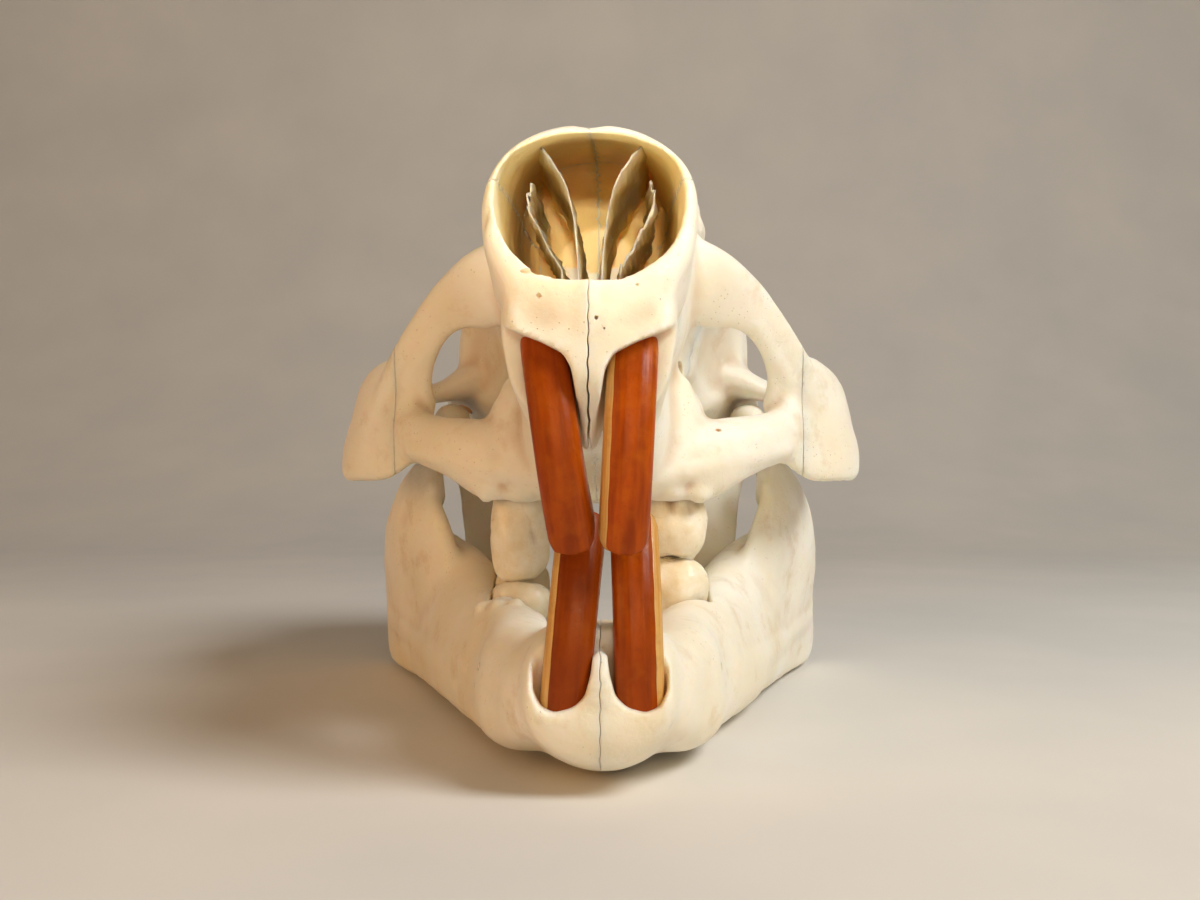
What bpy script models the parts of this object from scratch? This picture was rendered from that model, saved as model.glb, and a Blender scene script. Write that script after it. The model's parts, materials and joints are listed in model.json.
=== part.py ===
# Porcupine skull with its lower jaw, at life size, resting on the jaw.
#
# Shapes are made in millimetres and scaled to metres at the end. X runs to the skull's left,
# which is the right of a picture taken from the front. Y runs back from the upper incisors.
# Z runs up from the floor. Most rows below give one side of the head; the other side mirrors it.

import math

import bmesh
import bpy
import numpy as np
from mathutils import Matrix, Vector

# Driving dimensions, in millimetres
METRES = 0.001
GAP = 0.3  # between pieces that touch
CRANIUM_VOXEL = 0.8
JAW_VOXEL = 0.8
CRANIUM_FACES = 4600
JAW_FACES = 1050

# Front teeth: the arc of the front face in the side view as ((y, z) of its centre, radius), and for
# the left (1) and the right (-1) one its root and its tip as (degrees about that centre, x)
INCISOR_WIDTH = 4.8
INCISOR_DEPTH = 4.9
UPPER_INCISOR_ARC = ((19.0, 34.0), 19.0)
UPPER_INCISOR_ENDS = {1: ((46.0, 4.6), (-31.5, 3.5)), -1: ((46.0, -4.9), (-31.5, -1.7))}
LOWER_INCISOR_ARC = ((28.4, 13.0), 24.0)
LOWER_INCISOR_ENDS = {1: ((-15.0, 3.8), (39.0, 3.3)), -1: ((-15.0, -3.5), (39.0, -1.8))}
UPPER_SOCKET_REACH = (48, -4)  # degrees, between which the bone is cut clear of the tooth
LOWER_SOCKET_REACH = (-16.5, 18)

# Outlines (x, z) of what is cut away in front of each left front tooth, and how far back the cut goes
UPPER_RIM = (
    (9.4, 27.0),
    (0.4, 27.0),
    (0.45, 34.0),
    (0.8, 37.0),
    (1.55, 41.6),
    (2.4, 43.1),
    (4.5, 44.2),
    (7.1, 45.3),
    (9.4, 46.4),
)
UPPER_RIM_DEPTH = 4.4
LOWER_RIM = (
    (-0.4, 26.0),
    (-0.4, 14.6),
    (0.7, 14.2),
    (0.9, 12.4),
    (1.5, 10.2),
    (2.6, 9.2),
    (4.4, 8.7),
    (5.8, 9.2),
    (6.5, 10.6),
    (6.6, 12.6),
    (6.3, 16.0),
    (6.0, 26.0),
)
LOWER_RIM_DEPTH = 7.0
NOTCH_FRONT = -6.0  # where both cuts start, clear of the bone

# Cheek teeth, front to back: length, width
CHEEK_SIZES = ((7.4, 7.4), (6.9, 6.9), (6.7, 6.5), (6.0, 5.9))
CROWN_EDGE = 0.5
CROWN_FOLD = 0.16
CROWN_POWER = 2.5  # how square a crown is, seen along the tooth
GROOVE_REACH = 6.0  # how far a row's groove is cut past the bone's edge
ROW_FALL = 0.075  # how much lower both rows lie with each millimetre back
UPPER_ROW = dict(
    first_y=39.8, first_x=9.7, last_x=11.0, bone=27.4, into_bone=1.4, crown=20.6, worn={1: 20.9, -1: 18.0}
)
LOWER_ROW = dict(
    first_y=40.0, first_x=9.6, last_x=11.2, bone=14.2, into_bone=-1.4, crown=20.1, worn={1: 20.4, -1: 17.5}
)

# Linear colour and roughness of each kind of piece, found by a word of its name
LOOKS = {
    "incisor": ((0.50, 0.13, 0.012), 0.28),
    "tooth": ((0.74, 0.66, 0.48), 0.35),
    "scroll": ((0.80, 0.62, 0.32), 0.50),
    "bone": ((0.80, 0.72, 0.53), 0.50),
}

CRANIUM_YAW = -1.1  # degrees: the nose points slightly to the skull's right
CRANIUM_PIVOT = (0.0, 80.0, 40.0)
CRANIUM_SHIFT = (0.4, 0.0, 0.0)

# Rows of the braincase and snout: y, top, widest height, bottom, half width, top power, bottom power, rake
VAULT_ROWS = (
    (3.6, 65.35, 57.6, 46.5, 10.1, 2.2, 2.2, 0.20),
    (6.0, 66.0, 57.6, 45.0, 10.5, 2.15, 2.2, 0.19),
    (10.0, 66.8, 57.6, 43.0, 10.5, 2.15, 2.2, 0.18),
    (17.0, 68.3, 57.4, 40.0, 10.2, 2.25, 2.2, 0.12),
    (26.0, 69.4, 57.4, 38.0, 10.4, 2.4, 2.2, 0.06),
    (34.0, 70.6, 57.8, 37.0, 11.6, 2.5, 2.2, 0.0),
    (42.0, 71.4, 59.0, 37.0, 12.9, 2.6, 2.0, 0.0),
    (50.0, 71.6, 59.4, 37.0, 13.6, 2.6, 1.8, 0.0),
    (58.0, 71.2, 57.6, 36.5, 14.6, 2.5, 1.8, 0.0),
    (66.0, 70.0, 54.5, 35.0, 17.0, 2.3, 2.0, 0.0),
    (74.0, 68.0, 51.5, 34.0, 20.6, 2.2, 2.2, 0.0),
    (83.0, 65.2, 49.0, 33.5, 22.8, 2.2, 2.6, 0.0),
    (91.0, 61.8, 47.6, 33.5, 21.9, 2.2, 2.5, 0.02),
    (96.8, 57.8, 47.0, 34.5, 18.8, 2.2, 2.2, 0.06),
    (100.4, 52.6, 45.0, 37.0, 13.5, 2.0, 2.0, 0.10),
)
# The same for the nose cavity, whose wall is what is left between the two
NOSE_ROWS = (
    (-3.0, 64.2, 58.6, 50.6, 9.3, 2.3, 2.3, 0.22),
    (3.5, 64.6, 58.6, 50.2, 9.25, 2.3, 2.3, 0.22),
    (9.0, 65.4, 58.6, 47.6, 9.1, 2.3, 2.2, 0.18),
    (17.0, 67.0, 58.2, 45.6, 8.8, 2.3, 2.2, 0.12),
    (26.0, 68.2, 58.4, 44.6, 8.6, 2.4, 2.2, 0.06),
    (36.0, 68.8, 58.6, 44.6, 8.6, 2.4, 2.2, 0.0),
    (46.0, 67.0, 58.4, 46.0, 8.0, 2.2, 2.2, 0.0),
    (52.0, 63.6, 58.0, 50.0, 5.4, 2.0, 2.0, 0.0),
)
# The same for the chin, where the two halves of the lower jaw meet
CHIN_ROWS = (
    (3.7, 12.4, 9.8, 7.6, 6.6, 2.2, 2.2, 0.10),
    (5.0, 15.0, 9.8, 4.6, 7.4, 2.2, 2.2, 0.10),
    (8.0, 17.0, 10.0, 2.4, 8.1, 2.3, 2.0, 0.0),
    (12.0, 17.0, 9.8, 1.2, 8.8, 2.4, 2.0, 0.0),
    (17.0, 15.8, 9.2, 0.3, 9.8, 2.6, 2.0, 0.0),
    (22.0, 14.6, 8.6, 0.0, 11.0, 2.8, 2.0, 0.0),
    (27.0, 14.0, 8.2, 0.4, 12.2, 2.8, 2.0, 0.0),
)
# Plate of the jaw's upright part, upwards: z, front y, front x, back y, back x, half thickness, bow
RAMUS_ROWS = (
    (0.6, 59.0, 20.6, 85.0, 32.6, 1.5, 0.1),
    (3.4, 51.5, 17.8, 88.6, 33.7, 1.8, 0.5),
    (11.0, 51.0, 17.6, 88.5, 33.5, 1.9, 1.6),
    (17.0, 53.0, 18.6, 85.0, 33.1, 1.8, 2.1),
    (23.0, 56.5, 20.6, 80.8, 32.2, 1.6, 1.8),
    (28.5, 60.5, 23.2, 79.4, 29.8, 1.5, 1.2),
    (32.0, 64.0, 24.2, 80.2, 27.0, 1.5, 0.6),
)

# Seams between the bones of the upper skull. Each outline is (y, z) points in the side view.
PREMAXILLA = ((-5, 30), (20, 30), (23, 38), (27, 50), (31, 60.4), (-5, 60))
NASAL = ((-5, 60), (31, 60.4), (35.5, 64), (37, 76), (-5, 76))
MAXILLA = ((20, 20), (70, 20), (70, 30), (67, 42), (48, 45), (47, 60), (31, 60.4), (27, 50), (23, 38))
FRONTAL = ((31, 60.4), (47, 60), (48, 45), (64, 42.6), (65, 58), (66.5, 76), (37, 76), (35.5, 64))
PARIETAL = ((66.5, 76), (65, 56), (88, 52), (94, 56), (96, 64), (96, 76))
OCCIPITAL = ((94, 56), (94, 48), (97, 44), (97, 20), (115, 20), (115, 76), (96, 76), (96, 64))
# The same from above, as (x, y) points
SKULL_BASE = (
    (-9.8, 60),
    (9.8, 60),
    (9.8, 75.5),
    (5.8, 77.5),
    (5.8, 99),
    (-5.8, 99),
    (-5.8, 77.5),
    (-9.8, 75.5),
)
SIDE_VIEW = ((-20, -20), (130, -20), (130, 100), (-20, 100))
SEAM_SOLVER = "MANIFOLD"
SIDE_REACH = 60.0  # past both sides of the skull
BASE_REACH = (10, 80)  # from below the skull base up into the braincase
CHEEKBONE_START = 26.5  # x of the seam between cheekbone and upper jaw
CHEEKBONE_END = 71.5  # y of the seam behind the cheekbone

# Thin scrolls in the nose cavity, as (x, z) points across the left one, and their first and last y
NASAL_SCROLL = ((6.4, 72.0), (4.9, 64.6), (2.6, 61.6), (1.5, 56.0), (0.9, 52.4))
NASAL_SCROLL_SPAN = (9.0, 43.0)
SIDE_SCROLL = ((6.1, 61.8), (6.5, 60.0), (6.0, 58.0), (4.7, 56.0), (4.0, 53.6), (3.0, 51.6), (2.9, 40.0))
SIDE_SCROLL_SPAN = (14.0, 45.0)
SCROLL_THICKNESS = 0.6


def smooth_rows(rows, steps):
    """Rows read from smooth curves through the given ones."""
    table = np.array(rows, float)
    padded = np.vstack([2 * table[0] - table[1], table, 2 * table[-1] - table[-2]])
    found = []
    for i in range(1, len(padded) - 2):
        before, start, end, after = padded[i - 1 : i + 3]
        for t in np.arange(steps) / steps:
            found.append(
                0.5
                * (
                    2 * start
                    + (end - before) * t
                    + (2 * before - 5 * start + 4 * end - after) * t * t
                    + (3 * start - before - 3 * end + after) * t**3
                )
            )
    found.append(table[-1])
    return np.array(found)


def power_curve(angle, power):
    """Cosine and sine of an angle, squared off by a superellipse's power."""
    c, s = math.cos(angle), math.sin(angle)
    return (
        math.copysign(abs(c) ** (2 / power), c),
        math.copysign(abs(s) ** (2 / power), s),
    )


def loft(rings):
    """A closed shape through rings of as many points each: (points, faces)."""
    count = len(rings[0])
    points = [Vector(p) for ring in rings for p in ring]
    faces = []
    for r in range(len(rings) - 1):
        for k in range(count):
            a, b = r * count + k, r * count + (k + 1) % count
            faces.append((a, b, b + count, a + count))
    last = (len(rings) - 1) * count
    faces.append(tuple(range(count))[::-1])
    faces.append(tuple(last + k for k in range(count)))
    return points, faces


def vault(rows, steps=3, sides=36, inset=0.0):
    """The egg-shaped loft that the braincase, the snout and the nose cavity share."""
    rings = []
    for y, top, wide, bottom, half, power_top, power_bottom, rake in smooth_rows(rows, steps):
        ring = []
        for k in range(sides):
            angle = 2 * math.pi * k / sides
            up = math.sin(angle) >= 0
            c, s = power_curve(angle, power_top if up else power_bottom)
            height = (top - wide if up else wide - bottom) - inset
            z = wide + s * height
            ring.append((c * (half - inset), y + rake * (z - wide), z))
        rings.append(ring)
    return loft(rings)


def limb(rows, reference=(0, 0, 1), sides=18, steps=4, power=2.3):
    """A bar along a smooth path. Each row is x, y, z, half width, half height, lean in degrees.

    The half height lies along the reference direction where the lean is 0."""
    table = smooth_rows(rows, steps)
    path = [Vector(row[:3]) for row in table]
    rings = []
    for i, row in enumerate(table):
        along = path[min(i + 1, len(path) - 1)] - path[max(i - 1, 0)]
        along.normalize()
        side = Vector(reference).cross(along).normalized()
        up = along.cross(side)
        turn = Matrix.Rotation(math.radians(row[5]), 3, along)
        side, up = turn @ side, turn @ up
        ring = []
        for k in range(sides):
            c, s = power_curve(2 * math.pi * k / sides, power)
            ring.append(path[i] + side * (c * row[3]) + up * (s * row[4]))
        rings.append(ring)
    return loft(rings)


def blob(centre, radii, turns=(0, 0, 0)):
    """An ellipsoid, turned in degrees about X, Y and Z."""
    bm = bmesh.new()
    bmesh.ops.create_uvsphere(bm, u_segments=20, v_segments=12, radius=1)
    place = Matrix.Translation(centre)
    for axis, angle in zip("XYZ", turns):
        place = place @ Matrix.Rotation(math.radians(angle), 4, axis)
    place = place @ Matrix.Diagonal((*radii, 1))
    bm.transform(place)
    points = [v.co.copy() for v in bm.verts]
    faces = [tuple(v.index for v in f.verts) for f in bm.faces]
    bm.free()
    return points, faces


def plate(rows, sides=28, steps=4):
    """A thin upright plate of level slices, each bowed outwards between a front and a back point."""
    rings = []
    for z, front_y, front_x, back_y, back_x, half, bow in smooth_rows(rows, steps):
        front, back = Vector((front_x, front_y, z)), Vector((back_x, back_y, z))
        out = (back - front).cross(Vector((0, 0, 1))).normalized()
        ring = []
        for k in range(sides):
            c, s = power_curve(2 * math.pi * k / sides, 3.0)
            share = (1 - c) / 2
            swell = 4 * share * (1 - share)
            ring.append(front.lerp(back, share) + out * (s * half + bow * swell))
        rings.append(ring)
    return loft(rings)


def prism(outline, low, high, axis="Y"):
    """An outline carried along one axis. Its points hold the two other coordinates, in order."""
    place = "XYZ".index(axis)
    rings = []
    for level in (low, high):
        rings.append([(*point[:place], level, *point[place:]) for point in outline])
    return loft(rings)


def grown(outline, by):
    """A closed outline with its edges moved outwards."""
    points = [Vector(p) for p in outline]
    count = len(points)
    area = sum(a.x * b.y - b.x * a.y for a, b in zip(points, points[1:] + points[:1]))
    turn = math.copysign(1, area)
    found = []
    for i, point in enumerate(points):
        before = (point - points[i - 1]).normalized()
        after = (points[(i + 1) % count] - point).normalized()
        normal = Vector((before.y + after.y, -before.x - after.x)).normalized() * turn
        share = normal.dot(Vector((before.y, -before.x)) * turn)
        found.append(tuple(point + normal * (by / max(share, 0.4))))
    return found


def ribbon(points, half):
    """The outline of a strip of even thickness along a line."""
    line = [Vector(p) for p in points]
    normals = []
    for i in range(len(line)):
        along = (line[min(i + 1, len(line) - 1)] - line[max(i - 1, 0)]).normalized()
        normals.append(Vector((-along.y, along.x)) * half)
    left = [tuple(p + n) for p, n in zip(line, normals)]
    right = [tuple(p - n) for p, n in zip(line, normals)]
    return left + right[::-1]


def mirrored(shape):
    """The same shape on the other side of the head."""
    points, faces = shape
    return [Vector((-p.x, p.y, p.z)) for p in points], [tuple(reversed(f)) for f in faces]


def both(shapes):
    return list(shapes) + [mirrored(s) for s in shapes]


def as_object(name, shapes):
    """One object that holds all the given shapes, each closed and facing out."""
    bm = bmesh.new()
    for points, faces in shapes:
        verts = [bm.verts.new(p) for p in points]
        for face in faces:
            bm.faces.new([verts[i] for i in face])
    bmesh.ops.recalc_face_normals(bm, faces=bm.faces)
    mesh = bpy.data.meshes.new(name)
    bm.to_mesh(mesh)
    bm.free()
    obj = bpy.data.objects.new(name, mesh)
    bpy.context.collection.objects.link(obj)
    return obj


def apply_modifiers(obj):
    graph = bpy.context.evaluated_depsgraph_get()
    mesh = bpy.data.meshes.new_from_object(obj.evaluated_get(graph))
    old = obj.data
    obj.modifiers.clear()
    obj.data = mesh
    bpy.data.meshes.remove(old)
    return obj


def remeshed(obj, voxel, passes, factor=0.5):
    """The outer skin of everything in the object, with its creases rounded off."""
    grid = obj.modifiers.new("grid", "REMESH")
    grid.mode = "VOXEL"
    grid.voxel_size = voxel
    if passes:
        soft = obj.modifiers.new("soft", "SMOOTH")
        soft.factor = factor
        soft.iterations = passes
    return apply_modifiers(obj)


def thinned(obj, triangles):
    """The same surface with about that many triangles."""
    bm = bmesh.new()
    bm.from_mesh(obj.data)
    bmesh.ops.triangulate(bm, faces=bm.faces)
    bm.to_mesh(obj.data)
    bm.free()
    fewer = obj.modifiers.new("fewer", "DECIMATE")
    fewer.ratio = min(1.0, triangles / len(obj.data.polygons))
    fewer.use_collapse_triangulate = True
    return apply_modifiers(obj)


def boolean(obj, tool, operation, solver="EXACT"):
    step = obj.modifiers.new("cut", "BOOLEAN")
    step.solver = solver
    step.operation = operation
    step.object = tool
    apply_modifiers(obj)
    bpy.data.objects.remove(tool)
    return obj


def largest(obj):
    """Keeps only the largest closed surface."""
    bm = bmesh.new()
    bm.from_mesh(obj.data)
    bm.verts.ensure_lookup_table()
    left = set(bm.verts)
    groups = []
    while left:
        start = left.pop()
        group, queue = {start}, [start]
        while queue:
            for edge in queue.pop().link_edges:
                for vert in edge.verts:
                    if vert in left:
                        left.discard(vert)
                        group.add(vert)
                        queue.append(vert)
        groups.append(group)
    groups.sort(key=len)
    for group in groups[:-1]:
        bmesh.ops.delete(bm, geom=list(group), context="VERTS")
    bm.to_mesh(obj.data)
    bm.free()
    return obj


def joined(name, objects):
    """Several objects' surfaces in one object, not yet fused."""
    bm = bmesh.new()
    for obj in objects:
        bm.from_mesh(obj.data)
        bpy.data.objects.remove(obj)
    mesh = bpy.data.meshes.new(name)
    bm.to_mesh(mesh)
    bm.free()
    obj = bpy.data.objects.new(name, mesh)
    bpy.context.collection.objects.link(obj)
    return obj


def copy_of(obj, name):
    twin = bpy.data.objects.new(name, obj.data.copy())
    bpy.context.collection.objects.link(twin)
    return twin


# The teeth


def incisor(arc, root, tip, grow=0.0, steps=9, sides=14):
    """A curved front tooth, from its root to its tip. Each end is (degrees about the arc's centre, x)."""
    (centre_y, centre_z), radius = arc
    width, depth = INCISOR_WIDTH / 2 + grow, INCISOR_DEPTH / 2 + grow
    rings = []
    for i in range(steps + 1):
        angle, x = (a + (b - a) * i / steps for a, b in zip(root, tip))
        outward = Vector((0, -math.cos(math.radians(angle)), math.sin(math.radians(angle))))
        middle = Vector((x, centre_y, centre_z)) + outward * (radius - INCISOR_DEPTH / 2)
        ring = []
        for k in range(sides):
            c, s = power_curve(2 * math.pi * k / sides, 2.8)
            narrow = 1.0 - 0.12 * (1 - s) / 2
            ring.append(middle + Vector((c * width * narrow, 0, 0)) + outward * (s * depth))
        rings.append(ring)
    return loft(rings)


def part_way(root, tip, angle):
    """The end of a tooth where it is cut at another angle."""
    share = (angle - root[0]) / (tip[0] - root[0])
    return angle, root[1] + (tip[1] - root[1]) * share


def upper_incisor(side):
    root, tip = UPPER_INCISOR_ENDS[side]
    return incisor(UPPER_INCISOR_ARC, root, tip)


def upper_socket(side):
    root, tip = UPPER_INCISOR_ENDS[side]
    return incisor(UPPER_INCISOR_ARC, *(part_way(root, tip, a) for a in UPPER_SOCKET_REACH), GAP)


def lower_incisor(side):
    root, tip = LOWER_INCISOR_ENDS[side]
    return incisor(LOWER_INCISOR_ARC, root, tip)


def lower_socket(side):
    root, tip = LOWER_INCISOR_ENDS[side]
    return incisor(LOWER_INCISOR_ARC, *(part_way(root, tip, a) for a in LOWER_SOCKET_REACH), GAP)


def cheek_tooth(x, y, root, crown, size, sides=16):
    """A short column with a shallow fold on each side, between its root height and its crown height."""
    step = CROWN_EDGE if crown > root else -CROWN_EDGE
    rings = []
    for z, scale in ((root, 0.92), (root + 3 * step, 0.97), (crown - step, 1.0), (crown, 0.86)):
        ring = []
        for k in range(sides):
            c, s = power_curve(2 * math.pi * k / sides, CROWN_POWER)
            fold = 1 - CROWN_FOLD * (1 - min(1, abs(s) / 0.6)) ** 2 if abs(s) < 0.6 else 1
            along = s * size[0] / 2 * scale
            ring.append((x + c * fold * size[1] / 2 * scale, y + along, z - ROW_FALL * along))
        rings.append(ring)
    return loft(rings)


def cheek_row(row, side):
    """(x, y, root, crown, size) of each tooth in a row, front to back."""
    found = []
    y = row["first_y"]
    for i, size in enumerate(CHEEK_SIZES):
        if i:
            y += CHEEK_SIZES[i - 1][0] / 2 + size[0] / 2 + GAP
        x = row["first_x"] + (row["last_x"] - row["first_x"]) * i / (len(CHEEK_SIZES) - 1)
        fall = ROW_FALL * (y - row["first_y"])
        crown = row["worn"][side] if i == 0 else row["crown"] - fall
        found.append((side * x, y, row["bone"] - fall + row["into_bone"], crown, size))
    return found


def cheek_groove(row, side):
    """The groove in the bone that a row of cheek teeth stands in."""
    teeth = cheek_row(row, side)
    first, last = teeth[0], teeth[-1]
    reach = GROOVE_REACH * (1 if row["into_bone"] < 0 else -1)
    rings = []
    for (x, y, root, crown, size), way in ((first, -1), (last, 1)):
        along = way * (size[0] / 2 + GAP)
        y, root = y + along, root - ROW_FALL * along
        half = size[1] / 2 + GAP
        low, high = sorted((root + math.copysign(GAP, row["into_bone"]), root + reach))
        rings.append([(x - half, y, high), (x - half, y, low), (x + half, y, low), (x + half, y, high)])
    return loft(rings)


# The upper skull


def braincase_masses():
    """Braincase, snout, palate and the pieces under and behind them."""
    middle = [
        vault(VAULT_ROWS),
        # The block of bone that holds the upper incisors, and the snout's floor behind it
        limb(
            [
                (0, 2.4, 47.4, 7.9, 7.0, 0),
                (0, 5.4, 46.0, 8.2, 9.0, 0),
                (0, 9.0, 45.2, 8.1, 9.8, 0),
                (0, 15.0, 43.6, 7.7, 9.8, 0),
                (0, 23.0, 42.0, 7.4, 10.0, 0),
                (0, 32.0, 39.6, 8.6, 10.4, 0),
                (0, 40.0, 38.0, 10.4, 9.8, 0),
            ],
            power=3.0,
        ),
        # Keel between the two upper incisors
        limb(
            [
                (0, 4.8, 33.6, 0.9, 2.2, 0),
                (0, 4.8, 37.0, 1.1, 2.9, 0),
                (0, 5.0, 42.0, 1.6, 3.6, 0),
            ],
            reference=(0, 1, 0),
            sides=12,
        ),
        # The bone that holds the cheek teeth
        limb(
            [
                (0, 34.0, 37.0, 10.6, 7.4, 0),
                (0, 37.0, 36.2, 13.0, 8.6, 0),
                (0, 46.0, 35.4, 13.8, 8.8, 0),
                (0, 56.0, 34.4, 14.2, 8.8, 0),
                (0, 66.0, 33.6, 13.6, 8.6, 0),
                (0, 70.6, 34.4, 11.2, 7.0, 0),
            ],
            power=3.4,
        ),
    ]
    side = [
        # Ear capsule and its short tube
        blob((12.6, 84.6, 34.8), (6.6, 10.2, 8.0), (0, 0, -14)),
        limb(
            [
                (14.0, 84.0, 38.0, 3.4, 3.4, 0),
                (18.6, 84.4, 40.6, 3.0, 3.0, 0),
                (24.2, 85.4, 42.6, 2.6, 2.6, 0),
            ],
            reference=(0, 1, 0),
        ),
        # Mastoid and the spur behind the ear capsule
        blob((18.0, 92.0, 41.0), (4.2, 4.6, 6.4)),
        limb(
            [
                (14.6, 96.4, 41.0, 3.0, 3.0, 0),
                (14.2, 98.0, 35.4, 2.2, 2.2, 0),
                (13.4, 98.2, 30.6, 1.3, 1.4, 0),
            ],
            reference=(0, 1, 0),
        ),
        # Condyle beside the great hole at the back
        blob((6.2, 100.0, 39.2), (3.1, 4.4, 5.4), (24, 0, 24)),
        # Wing plate behind the palate
        limb(
            [
                (7.6, 64.0, 31.6, 1.2, 4.4, 0),
                (7.2, 70.0, 31.4, 1.0, 4.6, 0),
                (8.4, 76.4, 31.6, 1.0, 3.6, 0),
            ],
        ),
        # Half of the ridge across the back of the head
        limb(
            [
                (-1.0, 95.4, 60.4, 1.5, 1.4, 0),
                (6.0, 95.4, 59.2, 1.5, 1.4, 0),
                (12.0, 94.8, 55.4, 1.5, 1.4, 0),
                (17.6, 93.6, 49.0, 1.5, 1.5, 0),
                (20.0, 92.2, 43.0, 1.6, 1.6, 0),
            ],
            reference=(0, 1, 0),
        ),
    ]
    return middle + both(side)


def braincase_hollows():
    """What is scooped out of the braincase and snout before the cheek arches are added."""
    middle = [
        # Arch of the palate in front of the cheek teeth
        blob((0, 22.0, 28.6), (7.0, 12.5, 6.0)),
        # Palate between the tooth rows
        blob((0, 52.0, 25.4), (4.4, 20.0, 3.2)),
        # Back opening of the nose, under the skull
        blob((0, 74.0, 30.0), (5.2, 11.0, 7.4)),
        # The great hole at the back
        blob((0, 103.0, 45.0), (6.8, 11.0, 5.8)),
    ]
    side = [
        # Eye socket and the hollow behind it
        blob((19.0, 54.0, 47.5), (8.6, 13.0, 11.0), (0, 18, 8)),
        blob((23.4, 66.0, 46.0), (9.6, 12.0, 13.0), (0, 8, -8)),
        blob((17.5, 60.0, 40.5), (6.6, 13.0, 6.4)),
        # Side of the snout in front of the arch
        blob((17.6, 24.0, 40.0), (8.6, 17.0, 12.5), (0, 0, -2)),
    ]
    return middle + both(side)


def arch_masses():
    """The cheek arch of one side: its two front roots, the cheekbone and its back root."""
    return [
        # Upper front root, a broad plate that faces forwards
        limb(
            [
                (7.0, 37.0, 55.4, 2.8, 5.8, 0),
                (12.6, 39.6, 54.6, 2.3, 5.2, 0),
                (17.4, 42.4, 52.1, 1.9, 4.4, 0),
                (21.8, 45.6, 47.8, 1.7, 3.8, 0),
                (24.6, 48.6, 42.8, 1.6, 4.4, 0),
                (26.2, 50.6, 38.4, 1.6, 4.4, 0),
            ],
            reference=(1, 0, 1),
        ),
        # Lower front root, a nearly flat shelf above the first cheek tooth
        limb(
            [
                (7.0, 37.6, 32.6, 4.4, 5.4, 0),
                (12.0, 38.4, 32.6, 4.2, 5.2, 0),
                (17.0, 41.2, 34.2, 3.8, 4.0, 0),
                (22.0, 45.4, 35.4, 3.0, 3.4, 0),
                (27.0, 50.4, 37.0, 2.0, 3.6, 0),
            ],
        ),
        # Cheekbone
        limb(
            [
                (23.6, 47.4, 39.4, 1.5, 6.6, -12),
                (27.4, 50.2, 38.3, 1.6, 8.7, -10),
                (30.8, 53.6, 37.7, 1.7, 8.4, -12),
                (33.4, 58.6, 37.2, 1.7, 7.8, -13),
                (34.4, 65.0, 37.8, 1.6, 6.4, -11),
                (34.2, 72.0, 39.4, 1.5, 5.0, -10),
                (31.6, 78.0, 41.8, 1.4, 3.2, -6),
            ],
        ),
        # Back root, out of the braincase
        limb(
            [
                (14.0, 82.0, 46.4, 6.4, 4.8, 0),
                (20.5, 79.4, 44.6, 5.0, 2.8, 0),
                (25.6, 78.2, 42.8, 3.8, 1.6, 0),
                (30.6, 75.8, 42.4, 2.6, 1.9, 0),
                (33.4, 71.0, 42.4, 1.6, 2.2, 0),
            ],
        ),
    ]


def arch_hollows():
    """What is scooped out of the arch of one side."""
    return [
        # The wide opening through the front roots
        limb(
            [
                (14.6, 28.0, 42.4, 4.1, 5.2, -14),
                (15.8, 40.0, 43.6, 4.4, 5.6, -16),
                (17.4, 52.0, 44.6, 5.1, 6.4, -16),
            ],
            power=2.2,
        ),
        # Under the lower root, where the jaw muscle starts
        blob((23.4, 48.6, 27.6), (3.0, 8.0, 4.0), (0, -10, 30)),
        # Groove that the jaw's joint head slides in
        blob((22.7, 77.6, 38.7), (3.3, 9.0, 2.8), (5, 0, 0)),
    ]


def notch(outline, depth, side):
    """The space in front of a front tooth. Its outline is the rim of the tooth's socket."""
    shape = prism(outline, NOTCH_FRONT, depth)
    return shape if side > 0 else mirrored(shape)


def make_cranium():
    whole = as_object("cranium", braincase_masses())
    remeshed(whole, CRANIUM_VOXEL, 2)
    scoops = as_object("scoops", braincase_hollows())
    remeshed(scoops, CRANIUM_VOXEL, 1)
    boolean(whole, scoops, "DIFFERENCE")
    arches = as_object("arches", both(arch_masses()))
    whole = joined("cranium", [whole, arches])
    remeshed(whole, CRANIUM_VOXEL, 4)
    scoops = as_object("scoops", both(arch_hollows()))
    remeshed(scoops, CRANIUM_VOXEL, 1)
    boolean(whole, scoops, "DIFFERENCE")
    remeshed(whole, CRANIUM_VOXEL, 4)
    thinned(whole, CRANIUM_FACES)
    largest(whole)
    cavity = as_object("nose_cavity", [vault(NOSE_ROWS, steps=1, sides=22)])
    boolean(whole, cavity, "DIFFERENCE")
    for side in (1, -1):
        boolean(whole, as_object("rim", [notch(UPPER_RIM, UPPER_RIM_DEPTH, side)]), "DIFFERENCE")
        boolean(whole, as_object("socket", [upper_socket(side)]), "DIFFERENCE")
        boolean(whole, as_object("groove", [cheek_groove(UPPER_ROW, side)]), "DIFFERENCE")
    return largest(whole)


def cut_out(whole, name, outline, low, high, axis):
    """Takes one bone out of the whole along an outline, and leaves a thin seam."""
    bone = copy_of(whole, name)
    boolean(bone, as_object("inner", [prism(outline, low, high, axis)]), "INTERSECT", SEAM_SOLVER)
    outer = prism(grown(outline, GAP), low - GAP, high + GAP, axis)
    boolean(whole, as_object("outer", [outer]), "DIFFERENCE", SEAM_SOLVER)
    return bone


def halved(bone, name):
    """The left and the right bone of a pair."""
    for side, word in ((1, "left"), (-1, "right")):
        half = copy_of(bone, f"{name}_{word}")
        low, high = sorted((side * GAP / 2, side * SIDE_REACH))
        boolean(half, as_object("half", [prism(SIDE_VIEW, low, high, "X")]), "INTERSECT", SEAM_SOLVER)
        largest(half)
    bpy.data.objects.remove(bone)


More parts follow.
